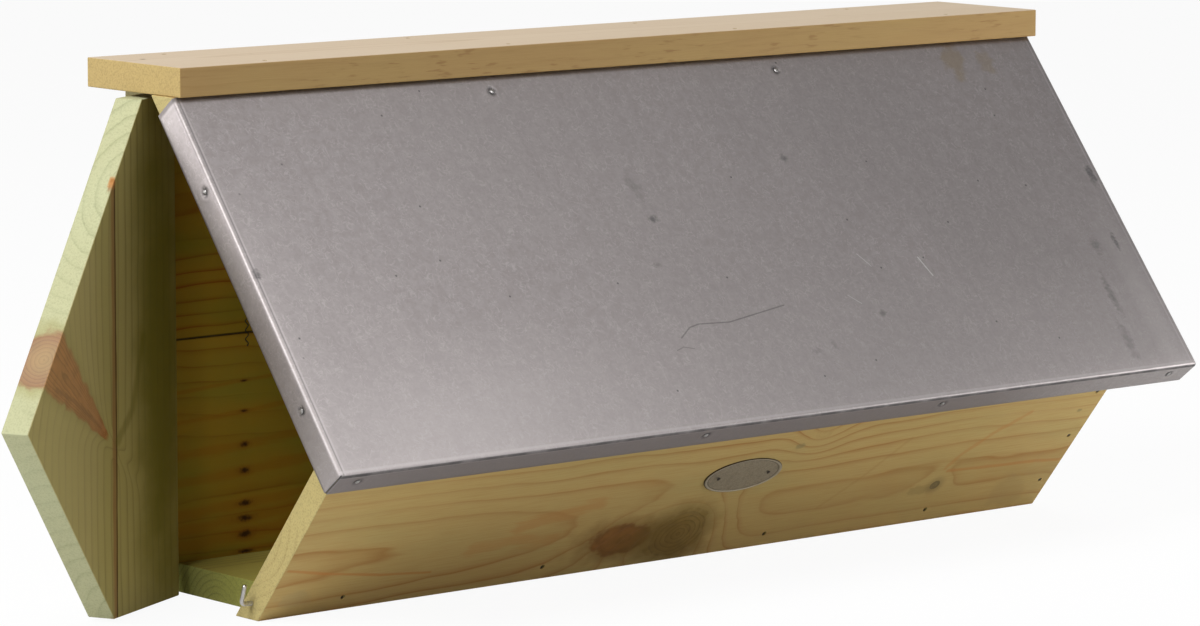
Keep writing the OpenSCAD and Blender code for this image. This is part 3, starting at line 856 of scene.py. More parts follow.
def dent(point, normal):
    """The pull of the nearest pins and the sheet's own waves, along the sheet's normal."""
    swell = WAVE * (1 + noise.noise(Vector((point.x * WAVES_ALONG, point.y * WAVES_UP, 4.0)))) / 2
    swell *= min(1, max(0, (half_length - BEND - abs(point.x)) / WAVE_EASE))
    swell *= min(1, max(0, (point.y - BEND) / WAVE_EASE)) if normal.z > 0.5 else 0
    for pin in pin_at:
        gap = (point - pin).length
        if gap < DENT_REACH:
            swell += DENT_RIM * math.exp(-((gap - DENT_RIM_AT) / DENT_RIM_WIDE) ** 2)
            swell -= DENT_DEEP * math.exp(-(gap / DENT_WIDE) ** 2)
    return swell


def skin(first, second, place, flip):
    """A grid of faces over two lists of places; place(a, b) gives a point on the outline."""
    mesh_rows = [[sheet_mesh.verts.new(place(a, b)) for b in second] for a in first]
    for low, high in zip(mesh_rows, mesh_rows[1:]):
        for i in range(len(second) - 1):
            corners = [low[i], high[i], high[i + 1], low[i + 1]]
            sheet_mesh.faces.new(corners[::-1] if flip else corners)


def side_place(side):
    """The place on an end fold, held back from the corner by half a seam."""

    def place(up, drop):
        pull = max(0, 1 - up / BEND) * SEAM if drop > BEND else 0
        return rounded(side * half_length, up, -drop) + Vector((0, pull, 0))

    return place


def eave_place(x, drop):
    """The place on the eave fold, held back from the corner by half a seam."""
    point = rounded(x, 0, -drop)
    edge = max(0, 1 - (half_length - abs(x)) / BEND) * SEAM if drop > BEND else 0
    point.x -= math.copysign(edge, x)
    return point


sheet_mesh = bmesh.new()
skin(columns, rows, lambda x, up: rounded(x, up, 0), False)
skin(rows, drops, side_place(-1), False)
skin(rows, drops, side_place(1), True)
skin(columns, drops, eave_place, True)
bmesh.ops.remove_doubles(sheet_mesh, verts=sheet_mesh.verts, dist=SHEET_WELD)
sheet_mesh.normal_update()
for vertex in sheet_mesh.verts:
    normal = vertex.normal.copy()
    vertex.co += normal * dent(vertex.co, normal)
print("sheet grid:", len(columns), "by", len(rows))
for vertex in sheet_mesh.verts:
    vertex.co = roof.at(*vertex.co)
bmesh.ops.recalc_face_normals(sheet_mesh, faces=sheet_mesh.faces)
sheet_mesh.normal_update()
top_face = max(sheet_mesh.faces, key=lambda face: face.calc_area())
if top_face.normal.dot(roof_out) < 0:
    bmesh.ops.reverse_faces(sheet_mesh, faces=sheet_mesh.faces)

# %% [markdown]
# New zinc is mottled in a way that is hard to see until it is missing: faint curls and
# crystals a few millimetres long, slow clouds, the rub of hands, and dark marks where a
# tool touched it. Painted light lies on it too: a sheen towards the eave and at the lower
# left, pale highlights and a dark line along the bends, and painted shade on the eave's face
# and round the pin dents. Every one of these is a mask from 0 to 1 that moves the colour or
# the roughness a little. Strong marks are placed one by one, in the roof's own measures.

# %% Zinc finish
ZINC = (0.312, 0.283, 0.280)
ZINC_PALE = (0.46, 0.425, 0.42)
ZINC_DARK = (0.205, 0.182, 0.182)
ZINC_STAIN = (0.085, 0.082, 0.083)
ZINC_BLACK = tuple(part * 0.6 for part in ZINC_STAIN)
ZINC_BROWN = (0.26, 0.200, 0.125)
SCRATCH = (0.6, 0.58, 0.57)
METAL_RELIEF = 0.00003

zinc = Finish("dull_zinc", ZINC, metallic=0.85)
zinc_point = zinc.on(roof)
zinc_x, zinc_up, zinc_out = zinc.split(zinc_point)
zinc_flat = zinc.join(zinc_x, zinc_up, 0.0)
clouds = zinc.noise(zinc_point, 7, 3.0, 0.55)
grain = zinc.noise(zinc_point, 420, 3.0, 0.65)
fine = zinc.noise(zinc_point, 150, 3.0, 0.6, 0.6)
curl_line = abs(zinc.noise(zinc_point, 205, 1.0, 0.5, 1.0) - 0.5)
curls = zinc.fade(curl_line, 0.045, 0.0) * zinc.fade(zinc.noise(zinc_point, 90, 2.0), 0.28, 0.60)
streak = zinc.noise(zinc.join(zinc_x * 190, zinc_up * 8, zinc_out * 60), 1.0, 2.0)
zinc.lay(zinc.fade(clouds, 0.30, 0.72), ZINC_DARK, 0.30)
zinc.lay(zinc.fade(fine, 0.38, 0.64), ZINC_PALE, 0.16)
zinc.lay(zinc.fade(grain, 0.40, 0.75), ZINC_DARK, 0.20)
zinc.lay(zinc.fade(streak, 0.45, 0.75), ZINC_DARK, 0.12)
zinc.lay(curls, ZINC_PALE, 0.36)

# %% Rubbed places, painted sheen and spots
# Paler towards the eave and in a broad patch at the lower left: painted sheen. Two smaller pale patches lie at the
# right end.
rub_and_sheen = zinc.fade(zinc_up, 0.13, 0.0) * 0.18
for centre, size, rough, weight in [
    ((-0.26, 0.02), (0.24, 0.09), 0.2, 0.26),
    ((0.33, 0.03), (0.09, 0.07), 0.2, 0.04),
    ((0.338, 0.06), (0.016, 0.11), 0.3, 0.28),
]:
    rub_and_sheen = rub_and_sheen + blot(zinc, zinc_flat, centre, size, rough, 0.0) * weight
zinc.lay(zinc.math("MINIMUM", rub_and_sheen, 0.8), ZINC_PALE)
spot = zinc.add("ShaderNodeTexVoronoi", {"voronoi_dimensions": "2D"}, {"Vector": zinc_flat, "Scale": 24})
chosen, _, _ = zinc.split(spot.also("Color"))
zinc.lay(zinc.fade(spot, 0.022, 0.012) * zinc.fade(chosen, 0.72, 0.76), ZINC_STAIN, 0.8)

# %% Lines along the bends
SIDE_DARK_AT = 0.0031
SIDE_PALE_AT = 0.0044
EAVE_PALE_AT = 0.0032

on_top = zinc.fade(zinc_out, -0.0005, -0.0001)
side_gap = half_length - abs(zinc_x)
side_line = zinc.fade(abs(side_gap - SIDE_DARK_AT), 0.0007, 0.0002) * on_top
near_door = zinc.fade(zinc_x, 0.10, -0.10) * 0.8 + 0.2
zinc.lay(side_line * near_door, ZINC_STAIN, 0.42)
# Pale lines on the top just inside the side and eave bends: painted highlights.
pale_side = zinc.fade(abs(side_gap - SIDE_PALE_AT), 0.0009, 0.0003) * on_top
pale_eave = zinc.fade(abs(zinc_up - EAVE_PALE_AT), 0.0012, 0.0004) * on_top
zinc.lay(zinc.most([pale_side, pale_eave]), ZINC_PALE, 0.45)
# A dark line on the eave's face just below the bend: painted shade. The seam line is the corners' real mitre
# joint.
bend_shade_line = zinc.fade(zinc_up, 0.0012, 0.0006) * zinc.fade(zinc_out, -0.0024, -0.0018)
bend_shade_line = bend_shade_line * (zinc.fade(zinc.noise(zinc_point, 60, 2.0), 0.30, 0.60) * 0.45 + 0.55)
seam_line = zinc.fade(abs(side_gap - zinc_up), 0.0009, 0.0004) * zinc.fade(zinc_up, 0.0018, 0.0012)
zinc.lay(zinc.most([bend_shade_line * 0.85, seam_line * 0.9]), ZINC_BLACK)
# The eave's face is darker, most towards the left: painted shade.
eave_shade = zinc.fade(zinc_up, 0.0006, 0.0001) * zinc.fade(zinc_out, -0.0020, -0.0030)
zinc.lay(eave_shade * zinc.fade(zinc_x, 0.28, 0.14), ZINC_DARK, 0.80)
# Dark rings round the pins, broken by noise: painted shade of the dents.
pin_dent_shade = zinc.most([
    zinc.fade(zinc.vector("DISTANCE", zinc_point, tuple(pin)), 0.0046, 0.0020) for pin in pin_at])
dent_shade_breakup = zinc.fade(zinc.noise(zinc_point, 500, 3.0), 0.34, 0.56)
zinc.lay(pin_dent_shade * dent_shade_breakup, ZINC_BLACK, 0.85)

# %% Marks and scratches, each with its place, its size or width, and its weight
dark_marks = [
    ((0.3470, 0.1515), (0.0050, 0.0110), 0.95), ((0.3376, 0.0990), (0.0032, 0.0110), 0.80),
    ((0.3188, 0.0970), (0.0060, 0.0080), 0.50), ((0.3100, 0.0580), (0.0045, 0.0230), 0.55),
    ((0.3040, 0.0240), (0.0060, 0.0200), 0.40), ((0.0888, 0.1850), (0.0046, 0.0040), 0.70),
    ((-0.0400, 0.1500), (0.0060, 0.0034), 0.75), ((-0.0544, 0.1172), (0.0055, 0.0028), 0.30),
    ((-0.0430, 0.1740), (0.0080, 0.0180), 0.28), ((0.1073, 0.0653), (0.0044, 0.0036), 0.55),
    ((0.0396, 0.0440), (0.0060, 0.0030), 0.32), ((0.0556, 0.0467), (0.0028, 0.0050), 0.30),
    ((-0.3505, 0.1390), (0.0040, 0.0060), 0.80), ((-0.2988, 0.2119), (0.0012, 0.0010), 0.90),
    ((-0.3380, 0.1940), (0.0012, 0.0012), 0.70),
]
brown_marks = [
    ((0.2757, 0.2500), (0.0110, 0.0190), 0.50), ((0.3043, 0.2460), (0.0085, 0.0120), 0.36),
]
scratches = [
    ([(-0.062, 0.0644), (-0.052, 0.071), (-0.0437, 0.0727), (-0.0188, 0.0716), (0.0304, 0.0791)],
     0.0007, 0.55, ZINC_STAIN),
    ([(-0.070, 0.056), (-0.0637, 0.058), (-0.056, 0.056)], 0.0006, 0.4, ZINC_STAIN),
    ([(0.1594, 0.1028), (0.1645, 0.0885)], 0.0007, 0.7, (0.62, 0.60, 0.59)),
    ([(0.110, 0.110), (0.117, 0.100)], 0.0005, 0.5, SCRATCH),
    ([(0.086, 0.081), (0.094, 0.074)], 0.0005, 0.5, SCRATCH),
]
marked = zinc.most([
    blot(zinc, zinc_flat, at, size, 0.8, 0.1) * weight for at, size, weight in dark_marks])
broken = zinc.fade(zinc.noise(zinc_point, 330, 3.0, 0.7), 0.34, 0.60)
marked = marked * (broken * 0.35 + 0.65)
zinc.lay(marked, ZINC_STAIN)
for at, size, weight in brown_marks:
    zinc.lay(blot(zinc, zinc_flat, at, size, 0.8), ZINC_BROWN, weight)
for path, width, weight, colour in scratches:
    zinc.lay(near_line(zinc, zinc_flat, path, width, 0.5), colour, weight)
zinc_rough = 0.46 + zinc.fade(clouds, 0.3, 0.7) * 0.06 + (grain - 0.5) * 0.10 + marked * 0.15
zinc_metal = zinc.close(zinc_rough, grain * 0.5 + fine * 0.5, METAL_RELIEF)

sheet = add_piece("roof_sheet_bent", sheet_mesh, zinc_metal, smooth_angle=50)
wall = sheet.modifiers.new("thickness", "SOLIDIFY")
wall.thickness = SHEET
wall.offset = -1
wall.use_even_offset = True
stand_for(sheet, "roof_sheet")

# %% [markdown]
# Nails, pins and screws are turned shapes that repeat. A geometry tree makes one from a
# short outline, by wrapping a flat grid round an axis, and puts a copy at every point with
# its head facing the right way. The points are measured from the frame. Modelling each
# nail by hand would be dull, and a plain cylinder has no head, neck or point.


# %% Turned fixings
def new_tree(name, inputs):
    """An empty geometry tree with named inputs; returns its graph and its input sockets."""
    tree = bpy.data.node_groups.new(name, "GeometryNodeTree")
    tree.interface.new_socket("Geometry", in_out="INPUT", socket_type="NodeSocketGeometry")
    for label, kind in inputs.items():
        tree.interface.new_socket(label, in_out="INPUT", socket_type=kind)
    tree.interface.new_socket("Geometry", in_out="OUTPUT", socket_type="NodeSocketGeometry")
    graph = Graph(tree)
    first = graph.add("NodeGroupInput")
    return graph, {label: first.also(label) for label in ["Geometry", *inputs]}


def close_tree(graph, geometry, material):
    """Ends a tree with its instances made real and its finish set."""
    solid = graph.add("GeometryNodeRealizeInstances", None, {0: geometry})
    dressed = graph.add("GeometryNodeSetMaterial", None, {"Geometry": solid, "Material": material})
    graph.add("NodeGroupOutput", None, {0: dressed})
    return graph.tree


def run_tree(name, tree, mesh, values, smooth_angle=30):
    """Runs a tree on a mesh and keeps the result as a plain object."""
    piece = bpy.data.objects.new(name, mesh)
    bpy.context.scene.collection.objects.link(piece)
    modifier = piece.modifiers.new("tree", "NODES")
    modifier.node_group = tree
    for item in tree.interface.items_tree:
        if item.in_out == "INPUT" and item.name in values:
            modifier[item.identifier] = values[item.name]
    bpy.context.view_layer.update()
    evaluated = piece.evaluated_get(bpy.context.evaluated_depsgraph_get())
    made = bpy.data.meshes.new_from_object(evaluated)
    piece.modifiers.remove(modifier)
    mesh = bmesh.new()
    mesh.from_mesh(made)
    bmesh.ops.remove_doubles(mesh, verts=mesh.verts, dist=WELD)
    bmesh.ops.recalc_face_normals(mesh, faces=mesh.faces)
    mesh.to_mesh(made)
    mesh.free()
    made.shade_smooth()
    made.set_sharp_from_angle(angle=math.radians(smooth_angle))
    piece.data = made
    made.name = name
    return piece


TURN_STEPS = 20


def turned(graph, outline):
    """Wraps a flat grid round the Z axis; outline is a list of radius and height."""
    count = len(outline)
    sizes = {"Size X": 1.0, "Size Y": 1.0, "Vertices X": TURN_STEPS + 1, "Vertices Y": count}
    grid = graph.add("GeometryNodeMeshGrid", None, sizes)
    x, y, _ = graph.split(graph.add("GeometryNodeInputPosition"))
    angle = (x + 0.5) * math.tau
    row = graph.math("ROUND", (y + 0.5) * (count - 1))
    radius, height = (
        graph.add("GeometryNodeIndexSwitch", {"data_type": "FLOAT", "items": count},
                  {0: row, **{i + 1: corner[part] for i, corner in enumerate(outline)}})
        for part in (0, 1))
    place = graph.join(graph.math("COSINE", angle) * radius, graph.math("SINE", angle) * radius, height)
    wrapped = graph.add("GeometryNodeSetPosition", None, {"Geometry": grid, "Position": place})
    return graph.add("GeometryNodeMergeByDistance", None, {"Geometry": wrapped, "Distance": WELD})


def copies(graph, points, shape):
    """One copy of shape at every point, its Z turned to the point's facing."""
    facing = graph.add("GeometryNodeInputNamedAttribute", {"data_type": "FLOAT_VECTOR"}, {"Name": "facing"})
    turn = graph.add("FunctionNodeAlignRotationToVector", {"axis": "Z"}, {"Vector": facing})
    spin = graph.add("FunctionNodeRandomValue", {"data_type": "FLOAT"}, {2: 0.0, 3: math.tau, 8: 5}, 1)
    own = graph.add("FunctionNodeAxisAngleToRotation", None, {"Axis": (0, 0, 1), "Angle": spin})
    turn = graph.add("FunctionNodeRotateRotation", {"rotation_space": "LOCAL"}, {0: turn, 1: own})
    given = {"Points": points, "Instance": shape, "Rotation": turn}
    return graph.add("GeometryNodeInstanceOnPoints", None, given)


FIXING_SIZES = ("Head radius", "Head height", "Shank radius", "Length")
FIXING_INPUTS = dict.fromkeys(FIXING_SIZES, "NodeSocketFloat") | {"Finish": "NodeSocketMaterial"}


def nail_tree(name, dome, point_length, recess):
    """A nail, pin or screw: dome is the rise of its head and point_length its taper."""
    graph, given = new_tree(name, FIXING_INPUTS)
    head, tall, shank, length = (given[size] for size in FIXING_SIZES)
    # Each corner's radius and height, from the middle of the head down to the point.
    shape = turned(graph, [
        (0.0, 0.0), (head * 0.35, dome * -0.12), (head * 0.70, dome * -0.50),
        (head * 0.92, dome * -0.9), (head, tall * -0.55 - dome * 0.3), (head * 0.96, tall * -1.0),
        (shank * 1.25, tall * -1.0), (shank, tall * -1.0 - shank * 0.5),
        (shank, point_length - length), (shank * 0.12, length * -1.0), (0.0, length * -1.0),
    ])
    if recess:
        deep = tall * 1.1
        cross = [graph.add("GeometryNodeMeshCube", None, {"Size": graph.join(*arm, deep)})
                 for arm in [(head * 1.15, head * 0.24), (head * 0.24, head * 1.15)]]
        settings = {"operation": "DIFFERENCE", "solver": "EXACT"}
        shape = graph.add("GeometryNodeMeshBoolean", settings, {0: shape, 1: cross})
    return close_tree(graph, copies(graph, given["Geometry"], shape), given["Finish"])


def point_mesh(items):
    """A mesh of bare points that carry the way they face."""
    mesh = bpy.data.meshes.new("points")
    mesh.from_pydata([item["head"] for item in items], [], [])
    facing = mesh.attributes.new("facing", "FLOAT_VECTOR", "POINT")
    facing.data.foreach_set("vector", [part for item in items for part in item["facing"]])
    return mesh


def fit_fixings(node, tree, material):
    """Puts turned fixings in place of a node's plain ones."""
    items = fixings(node)
    piece = run_tree(node + "_turned", tree, point_mesh(items), items[0] | {"Finish": material})
    print(node, len(items), "of length", round(items[0]["Length"] / MM, 2), "mm")
    return stand_for(piece, node)


# %% Steel finishes
def steel(name, bright, dull, roughness, specks):
    """Metal with fine rubbed streaks and small dark specks."""
    finish = Finish(name, bright, metallic=0.95)
    fine = finish.noise(finish.object_point, 1400, 3.0, 0.6)
    broad = finish.noise(finish.object_point, 240, 3.0, 0.6)
    finish.lay(finish.fade(fine, 0.35, 0.7), dull, 0.5)
    finish.lay(finish.fade(broad, 0.52, 0.72), dull, specks)
    return finish.close(roughness + (fine - 0.5) * 0.25, fine, METAL_RELIEF)


bright_steel = steel("bright_zinc_plate", (0.62, 0.61, 0.60), (0.36, 0.35, 0.34), 0.30, 0.4)
pin_steel = steel("pin_steel", (0.42, 0.41, 0.40), (0.16, 0.15, 0.145), 0.36, 0.7)
dark_steel = steel("dark_nail_steel", (0.11, 0.095, 0.085), (0.035, 0.028, 0.024), 0.52, 0.8)
blue_steel = steel("blued_strip_steel", (0.075, 0.105, 0.100), (0.030, 0.042, 0.042), 0.45, 0.6)

wood_nail = nail_tree("wood_nail", dome=0.15 * MM, point_length=4.0 * MM, recess=False)
domed_pin = nail_tree("domed_pin", dome=0.45 * MM, point_length=3.0 * MM, recess=False)
cross_screw = nail_tree("cross_screw", dome=0.30 * MM, point_length=4.0 * MM, recess=True)
for tree, metal, fixed in [
    (wood_nail, dark_steel, ["ridge_nails", "roof_nails", "front_nails", "back_nails"]),
    (domed_pin, pin_steel, ["sheet_pins"]),
    (domed_pin, dark_steel, ["badge_pins"]),
    (cross_screw, bright_steel, ["hinge_box_screws", "hinge_door_screws"]),
]:
    for node in fixed:
        fit_fixings(node, tree, metal)

# %% [markdown]
# Corrugated fasteners are short wavy strips of steel, hammered in across the joint of the
# two back boards. The strip follows a sine wave, so a tree bends a line into the wave and
# sweeps a thin oblong along it. Its outer edge stands a hair proud of the wood.

# %% Corrugated fasteners
STRIP_COUNT = 3
STRIP_PROUD = 0.25 * MM
STRIP_SWING = 1.1 * MM
STRIP_THICK = 0.6 * MM
STRIP_WAVES = 3
STRIP_STEPS = 49

strip_graph, given = new_tree("corrugated_fastener", {
    **dict.fromkeys(("Length", "Wave", "Thickness", "Depth"), "NodeSocketFloat"),
    "Finish": "NodeSocketMaterial",
})
line = strip_graph.add("GeometryNodeMeshLine", None, {"Count": STRIP_STEPS, "Offset": (0, 0, 0)})
share = strip_graph.add("GeometryNodeInputIndex") / (STRIP_STEPS - 1)
swing = strip_graph.math("SINE", share * (math.tau * STRIP_WAVES)) * given["Wave"]
wave_place = strip_graph.join(swing, 0.0, (share - 0.5) * given["Length"])
wavy = strip_graph.add("GeometryNodeSetPosition", None, {"Geometry": line, "Position": wave_place})
wavy = strip_graph.add("GeometryNodeMeshToCurve", None, {0: wavy})
oblong = strip_graph.add("GeometryNodeCurvePrimitiveQuadrilateral", {"mode": "RECTANGLE"},
                         {0: given["Depth"], 1: given["Thickness"]})
strip = strip_graph.add("GeometryNodeCurveToMesh", None,
                        {"Curve": wavy, "Profile Curve": oblong, "Fill Caps": True})
placed = strip_graph.add("GeometryNodeInstanceOnPoints", None,
                         {"Points": given["Geometry"], "Instance": strip})
strip_tree = close_tree(strip_graph, placed, given["Finish"])

strip_low, strip_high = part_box("joint_fasteners")
strip_depth = strip_high.y - strip_low.y
strip_mid = (strip_low + strip_high) / 2
half_strip = STRIP_SWING + STRIP_THICK / 2
strip_mesh = bpy.data.meshes.new("points")
strip_mesh.from_pydata([
    (x, strip_mid.y - STRIP_PROUD, strip_mid.z)
    for x in np.linspace(strip_low.x + half_strip, strip_high.x - half_strip, STRIP_COUNT)
], [], [])
strips = run_tree("joint_fasteners_wavy", strip_tree, strip_mesh, {
    "Length": strip_high.z - strip_low.z,
    "Wave": STRIP_SWING,
    "Thickness": STRIP_THICK,
    "Depth": strip_depth,
    "Finish": blue_steel,
})
print("fasteners:", STRIP_COUNT, "of", round(strip_depth / MM, 1), "mm")
stand_for(strips, "joint_fasteners")

# %% [markdown]
# The turn hook is bright wire, bent square and screwed into the front board's end. Its
# thread shows at the root. A path of points makes the wire, with an arc at the bend, and a
# spiral makes the thread. Both are swept with a round outline in one tree.

# %% Turn hook
HOOK_BEND = 2.8 * MM
HOOK_ARC = 10
THREAD_PITCH = 1.2 * MM
THREAD_RISE = 0.20 * MM
THREAD_OUT = 4.0 * MM
THREAD_STEPS = 24
THREAD_GAP = 0.4 * MM
THREAD_SIDES = 6
RUN_OUT = 0.2 * MM
RUN_OUT_RATE = 8.0
WIRE_SIDES = 20
TIP = 0.5 * MM
TIP_NARROWS = 0.35
TOUCH = 0.01 * MM

hook_at = Vector(joint_of["hook_turn"]["pos_m"])
hook_low, hook_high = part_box("turn_hook")
root_end = [v.co for v in nodes["turn_hook"].data.vertices if v.co.x > hook_high.x - TOUCH]
wire_radius = max((point - hook_at).yz.length for point in root_end)
arm_way = main_face("turn_hook", Vector((0, -0.3, 0.95)))
arm_length = reach("turn_hook", arm_way)[1] - hook_at.dot(arm_way)
corner = Vector((hook_low.x + wire_radius, hook_at.y, hook_at.z))
hook_path = [Vector((hook_high.x, hook_at.y, hook_at.z))]
for i in range(HOOK_ARC + 1):
    angle = math.pi / 2 * i / HOOK_ARC
    back_x = HOOK_BEND * (1 - math.sin(angle))
    hook_path.append(corner + X_AXIS * back_x + arm_way * HOOK_BEND * (1 - math.cos(angle)))
hook_path += [corner + arm_way * (arm_length - TIP), corner + arm_way * arm_length]
hook_mesh = bpy.data.meshes.new("hook_path")
hook_mesh.from_pydata(hook_path, [(i, i + 1) for i in range(len(hook_path) - 1)], [])
print("hook wire", round(2 * wire_radius / MM, 2), "mm, arm", round(arm_length / MM, 1), "mm")

hook_graph, given = new_tree("wire_hook", {
    **dict.fromkeys(("Wire radius", "Thread rise", "Thread turns", "Thread length"), "NodeSocketFloat"),
    "Thread start": "NodeSocketVector",
    "Finish": "NodeSocketMaterial",
})
path = hook_graph.add("GeometryNodeMeshToCurve", None, {0: given["Geometry"]})
index = hook_graph.add("GeometryNodeInputIndex")
last = hook_graph.math("GREATER_THAN", index, len(hook_path) - 1.5)
wire_wide = given["Wire radius"] * (1 - last * TIP_NARROWS)
circle = hook_graph.add("GeometryNodeCurvePrimitiveCircle", None, {"Resolution": WIRE_SIDES, "Radius": 1.0})
swept = {"Curve": path, "Profile Curve": circle, "Scale": wire_wide, "Fill Caps": True}
wire = hook_graph.add("GeometryNodeCurveToMesh", None, swept)
spiral_points = math.ceil(THREAD_OUT / THREAD_PITCH * THREAD_STEPS) + 1
spiral = hook_graph.add("GeometryNodeMeshLine", None, {"Count": spiral_points})
share = index / (spiral_points - 1)
angle = share * given["Thread turns"] * math.tau
ends = hook_graph.math("MINIMUM", share, 1 - share)
ramp = hook_graph.math("MULTIPLY", ends, RUN_OUT_RATE, clamp=True)
from_axis = given["Wire radius"] - (1 - ramp) * RUN_OUT
spiral_place = hook_graph.join(share * given["Thread length"] * -1.0,
                               hook_graph.math("COSINE", angle) * from_axis,
                               hook_graph.math("SINE", angle) * from_axis)
spiral_place = hook_graph.vector("ADD", spiral_place, given["Thread start"])
spiral = hook_graph.add("GeometryNodeSetPosition", None, {"Geometry": spiral, "Position": spiral_place})
spiral = hook_graph.add("GeometryNodeMeshToCurve", None, {0: spiral})
small = {"Resolution": THREAD_SIDES, "Radius": given["Thread rise"]}
small_circle = hook_graph.add("GeometryNodeCurvePrimitiveCircle", None, small)
swept = {"Curve": spiral, "Profile Curve": small_circle, "Fill Caps": True}
thread = hook_graph.add("GeometryNodeCurveToMesh", None, swept)
both = hook_graph.add("GeometryNodeJoinGeometry", None, {0: [wire, thread]})
hook_tree = close_tree(hook_graph, both, given["Finish"])
hook = run_tree("turn_hook_wire", hook_tree, hook_mesh, {
    "Wire radius": wire_radius,
    "Thread rise": THREAD_RISE,
    "Thread turns": THREAD_OUT / THREAD_PITCH,
    "Thread length": THREAD_OUT,
    "Thread start": (body_left - THREAD_GAP, hook_at.y, hook_at.z),
    "Finish": bright_steel,
}, smooth_angle=40)
stand_for(hook, "turn_hook")

# %% [markdown]
# The hinges are small steel butts, outside the box at the door's rear edge. Their leaves
# and pins are already right in the frame, down to the screw holes, so the frame's own
# solids stay. They only need a metal that is not one flat grey.

# %% Hinges
for place in ("upper", "lower"):
    for part in ("box_leaf", "door_leaf", "pin"):
        for hinge_slot in nodes["hinge_" + place + "_" + part].material_slots:
            hinge_slot.material = bright_steel
print("hinge parts:", len([node for node in nodes if "hinge" in node]))

# %% [markdown]
# The oval badge is a stamped plate with a raised edge. It carries no words and no picture:
# its field is plain hammered metal, which is a generic finish. Rings of points squeezed to
# an oval give the plate. Each ring has its height, and smooth noise lowers and lifts the
# points of the field a little, as a hammer would.

# %% Badge
BADGE_RIM = [(0.0, 0.52), (0.20, 0.52), (0.40, 0.52), (0.60, 0.53), (0.80, 0.54), (0.90, 0.56),
             (0.925, 0.66), (0.94, 0.88), (0.955, 0.98), (0.975, 0.98), (0.99, 0.86), (1.0, 0.55)]
BADGE_TURN = 96
BADGE_RINGS = 26
FIELD_SHARE = 0.91
RIM_AT = 0.955
GROOVE_AT = 0.905
HAMMER = 0.09
HAMMER_WIDE = 2.1 * MM

badge_corners = np.array([front.measure(vertex.co)[:] for vertex in nodes["badge_plate"].data.vertices])
badge_min, badge_max = Vector(badge_corners.min(0)), Vector(badge_corners.max(0))
badge_mid = (badge_min + badge_max) / 2
badge_half = (badge_max - badge_min) / 2
badge_thick = badge_max.z
print("badge", [round(2 * part / MM, 1) for part in badge_half])


def rim_height(share):
    """Height of the badge at a share of its half width, as a share of its thickness."""
    for (low, low_height), (high, high_height) in zip(BADGE_RIM, BADGE_RIM[1:]):
        if share <= high:
            return low_height + (high_height - low_height) * (share - low) / (high - low)
    return BADGE_RIM[-1][1]


badge_mesh = bmesh.new()
shares = sorted({i / BADGE_RINGS for i in range(1, BADGE_RINGS)} | {share for share, _ in BADGE_RIM[1:]})
rings = []
for share in shares:
    ring = []
    for i in range(BADGE_TURN):
        angle = math.tau * i / BADGE_TURN
        along = badge_half.x * math.cos(angle) * share
        across = badge_half.y * math.sin(angle) * share
        height = rim_height(share)
        if share < FIELD_SHARE:
            height += noise.noise(Vector((along / HAMMER_WIDE, across / HAMMER_WIDE, 9.0))) * HAMMER
        place = front.at(badge_mid.x + along, badge_mid.y + across, height * badge_thick)
        ring.append(badge_mesh.verts.new(place))
    rings.append(ring)
middle = badge_mesh.verts.new(front.at(badge_mid.x, badge_mid.y, rim_height(0) * badge_thick))
edge_depth = front.out * badge_thick * rim_height(1)
rings.append([badge_mesh.verts.new(vertex.co - edge_depth) for vertex in rings[-1]])
for i in range(BADGE_TURN):
    after = (i + 1) % BADGE_TURN
    badge_mesh.faces.new([middle, rings[0][i], rings[0][after]])
    for inner, outer in zip(rings, rings[1:]):
        badge_mesh.faces.new([inner[i], outer[i], outer[after], inner[after]])
badge_mesh.faces.new(rings[-1][::-1])
bmesh.ops.recalc_face_normals(badge_mesh, faces=badge_mesh.faces)

PEWTER = (0.37, 0.325, 0.240)
PEWTER_DULL = (0.20, 0.172, 0.122)
PEWTER_RIM = (0.52, 0.475, 0.380)
PEWTER_WALL = (0.045, 0.030, 0.014)

pewter = Finish("dull_pewter", PEWTER, metallic=0.8)
pewter_fine = pewter.noise(pewter.object_point, 900, 3.0, 0.6)
pewter_broad = pewter.noise(pewter.object_point, 130, 3.0, 0.6)
badge_at = pewter.vector("SUBTRACT", pewter.on(front), tuple(badge_mid))
badge_scale = (1 / badge_half.x, 1 / badge_half.y, 0.0)
badge_share = pewter.vector("LENGTH", pewter.vector("MULTIPLY", badge_at, badge_scale))
pewter.lay(pewter.fade(pewter_fine, 0.3, 0.7), PEWTER_DULL, 0.45)
pewter.lay(pewter.fade(pewter_broad, 0.5, 0.75), PEWTER_DULL, 0.35)
pewter.lay(pewter.fade(abs(badge_share - RIM_AT), 0.035, 0.010), PEWTER_RIM, 0.55)
pewter.lay(pewter.fade(abs(badge_share - GROOVE_AT), 0.025, 0.006), PEWTER_WALL, 0.45)
# The plate's outer wall is almost black: painted shade along the badge's edge.
pewter.lay(pewter.fade(badge_share, 0.982, 0.995), PEWTER_WALL, 0.92)
pewter_metal = pewter.close(0.42 + (pewter_fine - 0.5) * 0.3, pewter_fine, 0.00004)
badge = add_piece("badge_plate_stamped", badge_mesh, pewter_metal, smooth_angle=35)
stand_for(badge, "badge_plate")

# %% [markdown]
# A product picture on white needs soft light that still has a direction. The key lamp at
# the upper left makes the ridge, the door's edge and the board ends the brightest faces.
# Weak fills in front, at the right and above open the shadows. Two panels are there only
# for the zinc, which shows whatever it reflects, so nothing dull is lit by them. The floor
# is white to the camera and keeps a soft shadow.

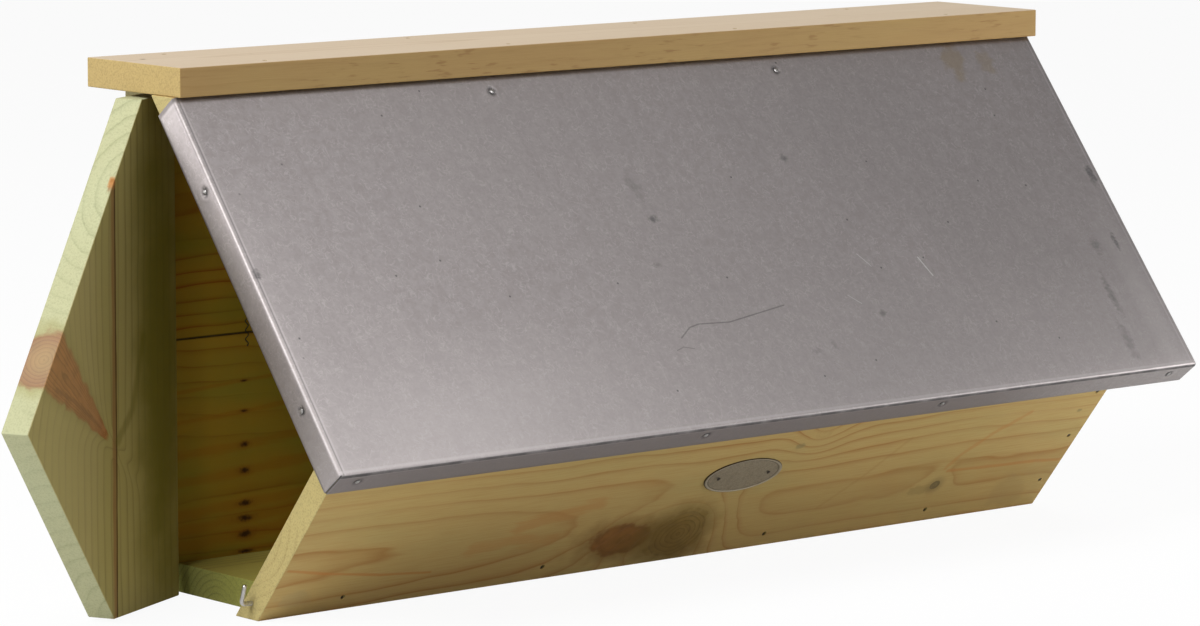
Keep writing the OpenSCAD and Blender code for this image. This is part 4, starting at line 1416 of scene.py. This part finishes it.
# %% Light
# Name, place, target, size, power, and the kind of ray that a lamp is kept from.
LAMPS = [
    ("key", (-2.4, -0.50, 2.2), (0, -0.05, 0), 1.6, 104, None),
    ("front_fill", (1.3, -2.8, 0.2), (0, -0.1, -0.1), 1.6, 4, None),
    ("right_fill", (0.75, -0.60, -0.10), (0.25, -0.14, -0.17), 0.45, 2.7, None),
    ("top_fill", (0.9, 0.5, 1.9), (0.1, 0, 0), 1.2, 16, "visible_glossy"),
    ("zinc_panel", (-0.02, -1.00, 0.70), (-0.1, -0.2, -0.05), 0.8, 9, "visible_diffuse"),
    ("flange_panel", (-1.9, 1.9, 0.05), (-0.3, 0, -0.05), 1.4, 54, "visible_diffuse"),
]
for name, place, target, size, power, without in LAMPS:
    lamp_data = bpy.data.lights.new(name, "AREA")
    lamp_data.shape = "SQUARE"
    lamp_data.size = size
    lamp_data.energy = power
    lamp = bpy.data.objects.new(name, lamp_data)
    bpy.context.scene.collection.objects.link(lamp)
    lamp.location = place
    lamp.rotation_euler = (Vector(target) - Vector(place)).to_track_quat("-Z", "Y").to_euler()
    lamp.visible_camera = False
    if without:
        setattr(lamp, without, False)

SKY_LIGHT = 0.25

world = bpy.data.worlds.new("studio")
world.use_nodes = True
bpy.context.scene.world = world
sky = Graph(world.node_tree)
seen = sky.add("ShaderNodeLightPath")
clear = sky.most([seen, seen.also("Is Transmission Ray")])
background = world.node_tree.nodes["Background"]
sky.tree.links.new((clear * (1 - SKY_LIGHT) + SKY_LIGHT).output, background.inputs["Strength"])
background.inputs["Color"].default_value = (1, 1, 1, 1)

# %% Floor
FLOOR_RADIUS = 7.0
FLOOR_SIDES = 96
FLOOR_GAP = 0.5 * MM
PAPER_SHARE = 0.94
PAPER_GLOSS = 0.17

floor_mesh = bmesh.new()
bmesh.ops.create_circle(floor_mesh, cap_ends=True, segments=FLOOR_SIDES, radius=FLOOR_RADIUS)
bmesh.ops.translate(floor_mesh, verts=floor_mesh.verts, vec=(0, 0, base_z - FLOOR_GAP))
paper = Finish("white_paper", (1, 1, 1))
paper_seen = paper.add("ShaderNodeLightPath")
straight = paper.most([paper_seen, paper_seen.also("Is Transmission Ray")])
share = straight * PAPER_SHARE + paper_seen.also("Is Glossy Ray") * PAPER_GLOSS
glow = paper.add("ShaderNodeEmission", None, {"Color": (1, 1, 1, 1), "Strength": 1.0})
plain = paper.add("ShaderNodeBsdfDiffuse", None, {"Color": (0.8, 0.8, 0.8, 1)})
blend = paper.add("ShaderNodeMixShader", None, {0: share, 1: plain, 2: glow})
surface = paper.tree.nodes["Material Output"].inputs["Surface"]
paper.tree.links.new(blend.output, surface)
floor_piece = add_piece("studio_floor", floor_mesh, paper.material)

# %% Finish
bpy.context.scene.view_settings.view_transform = "Standard"
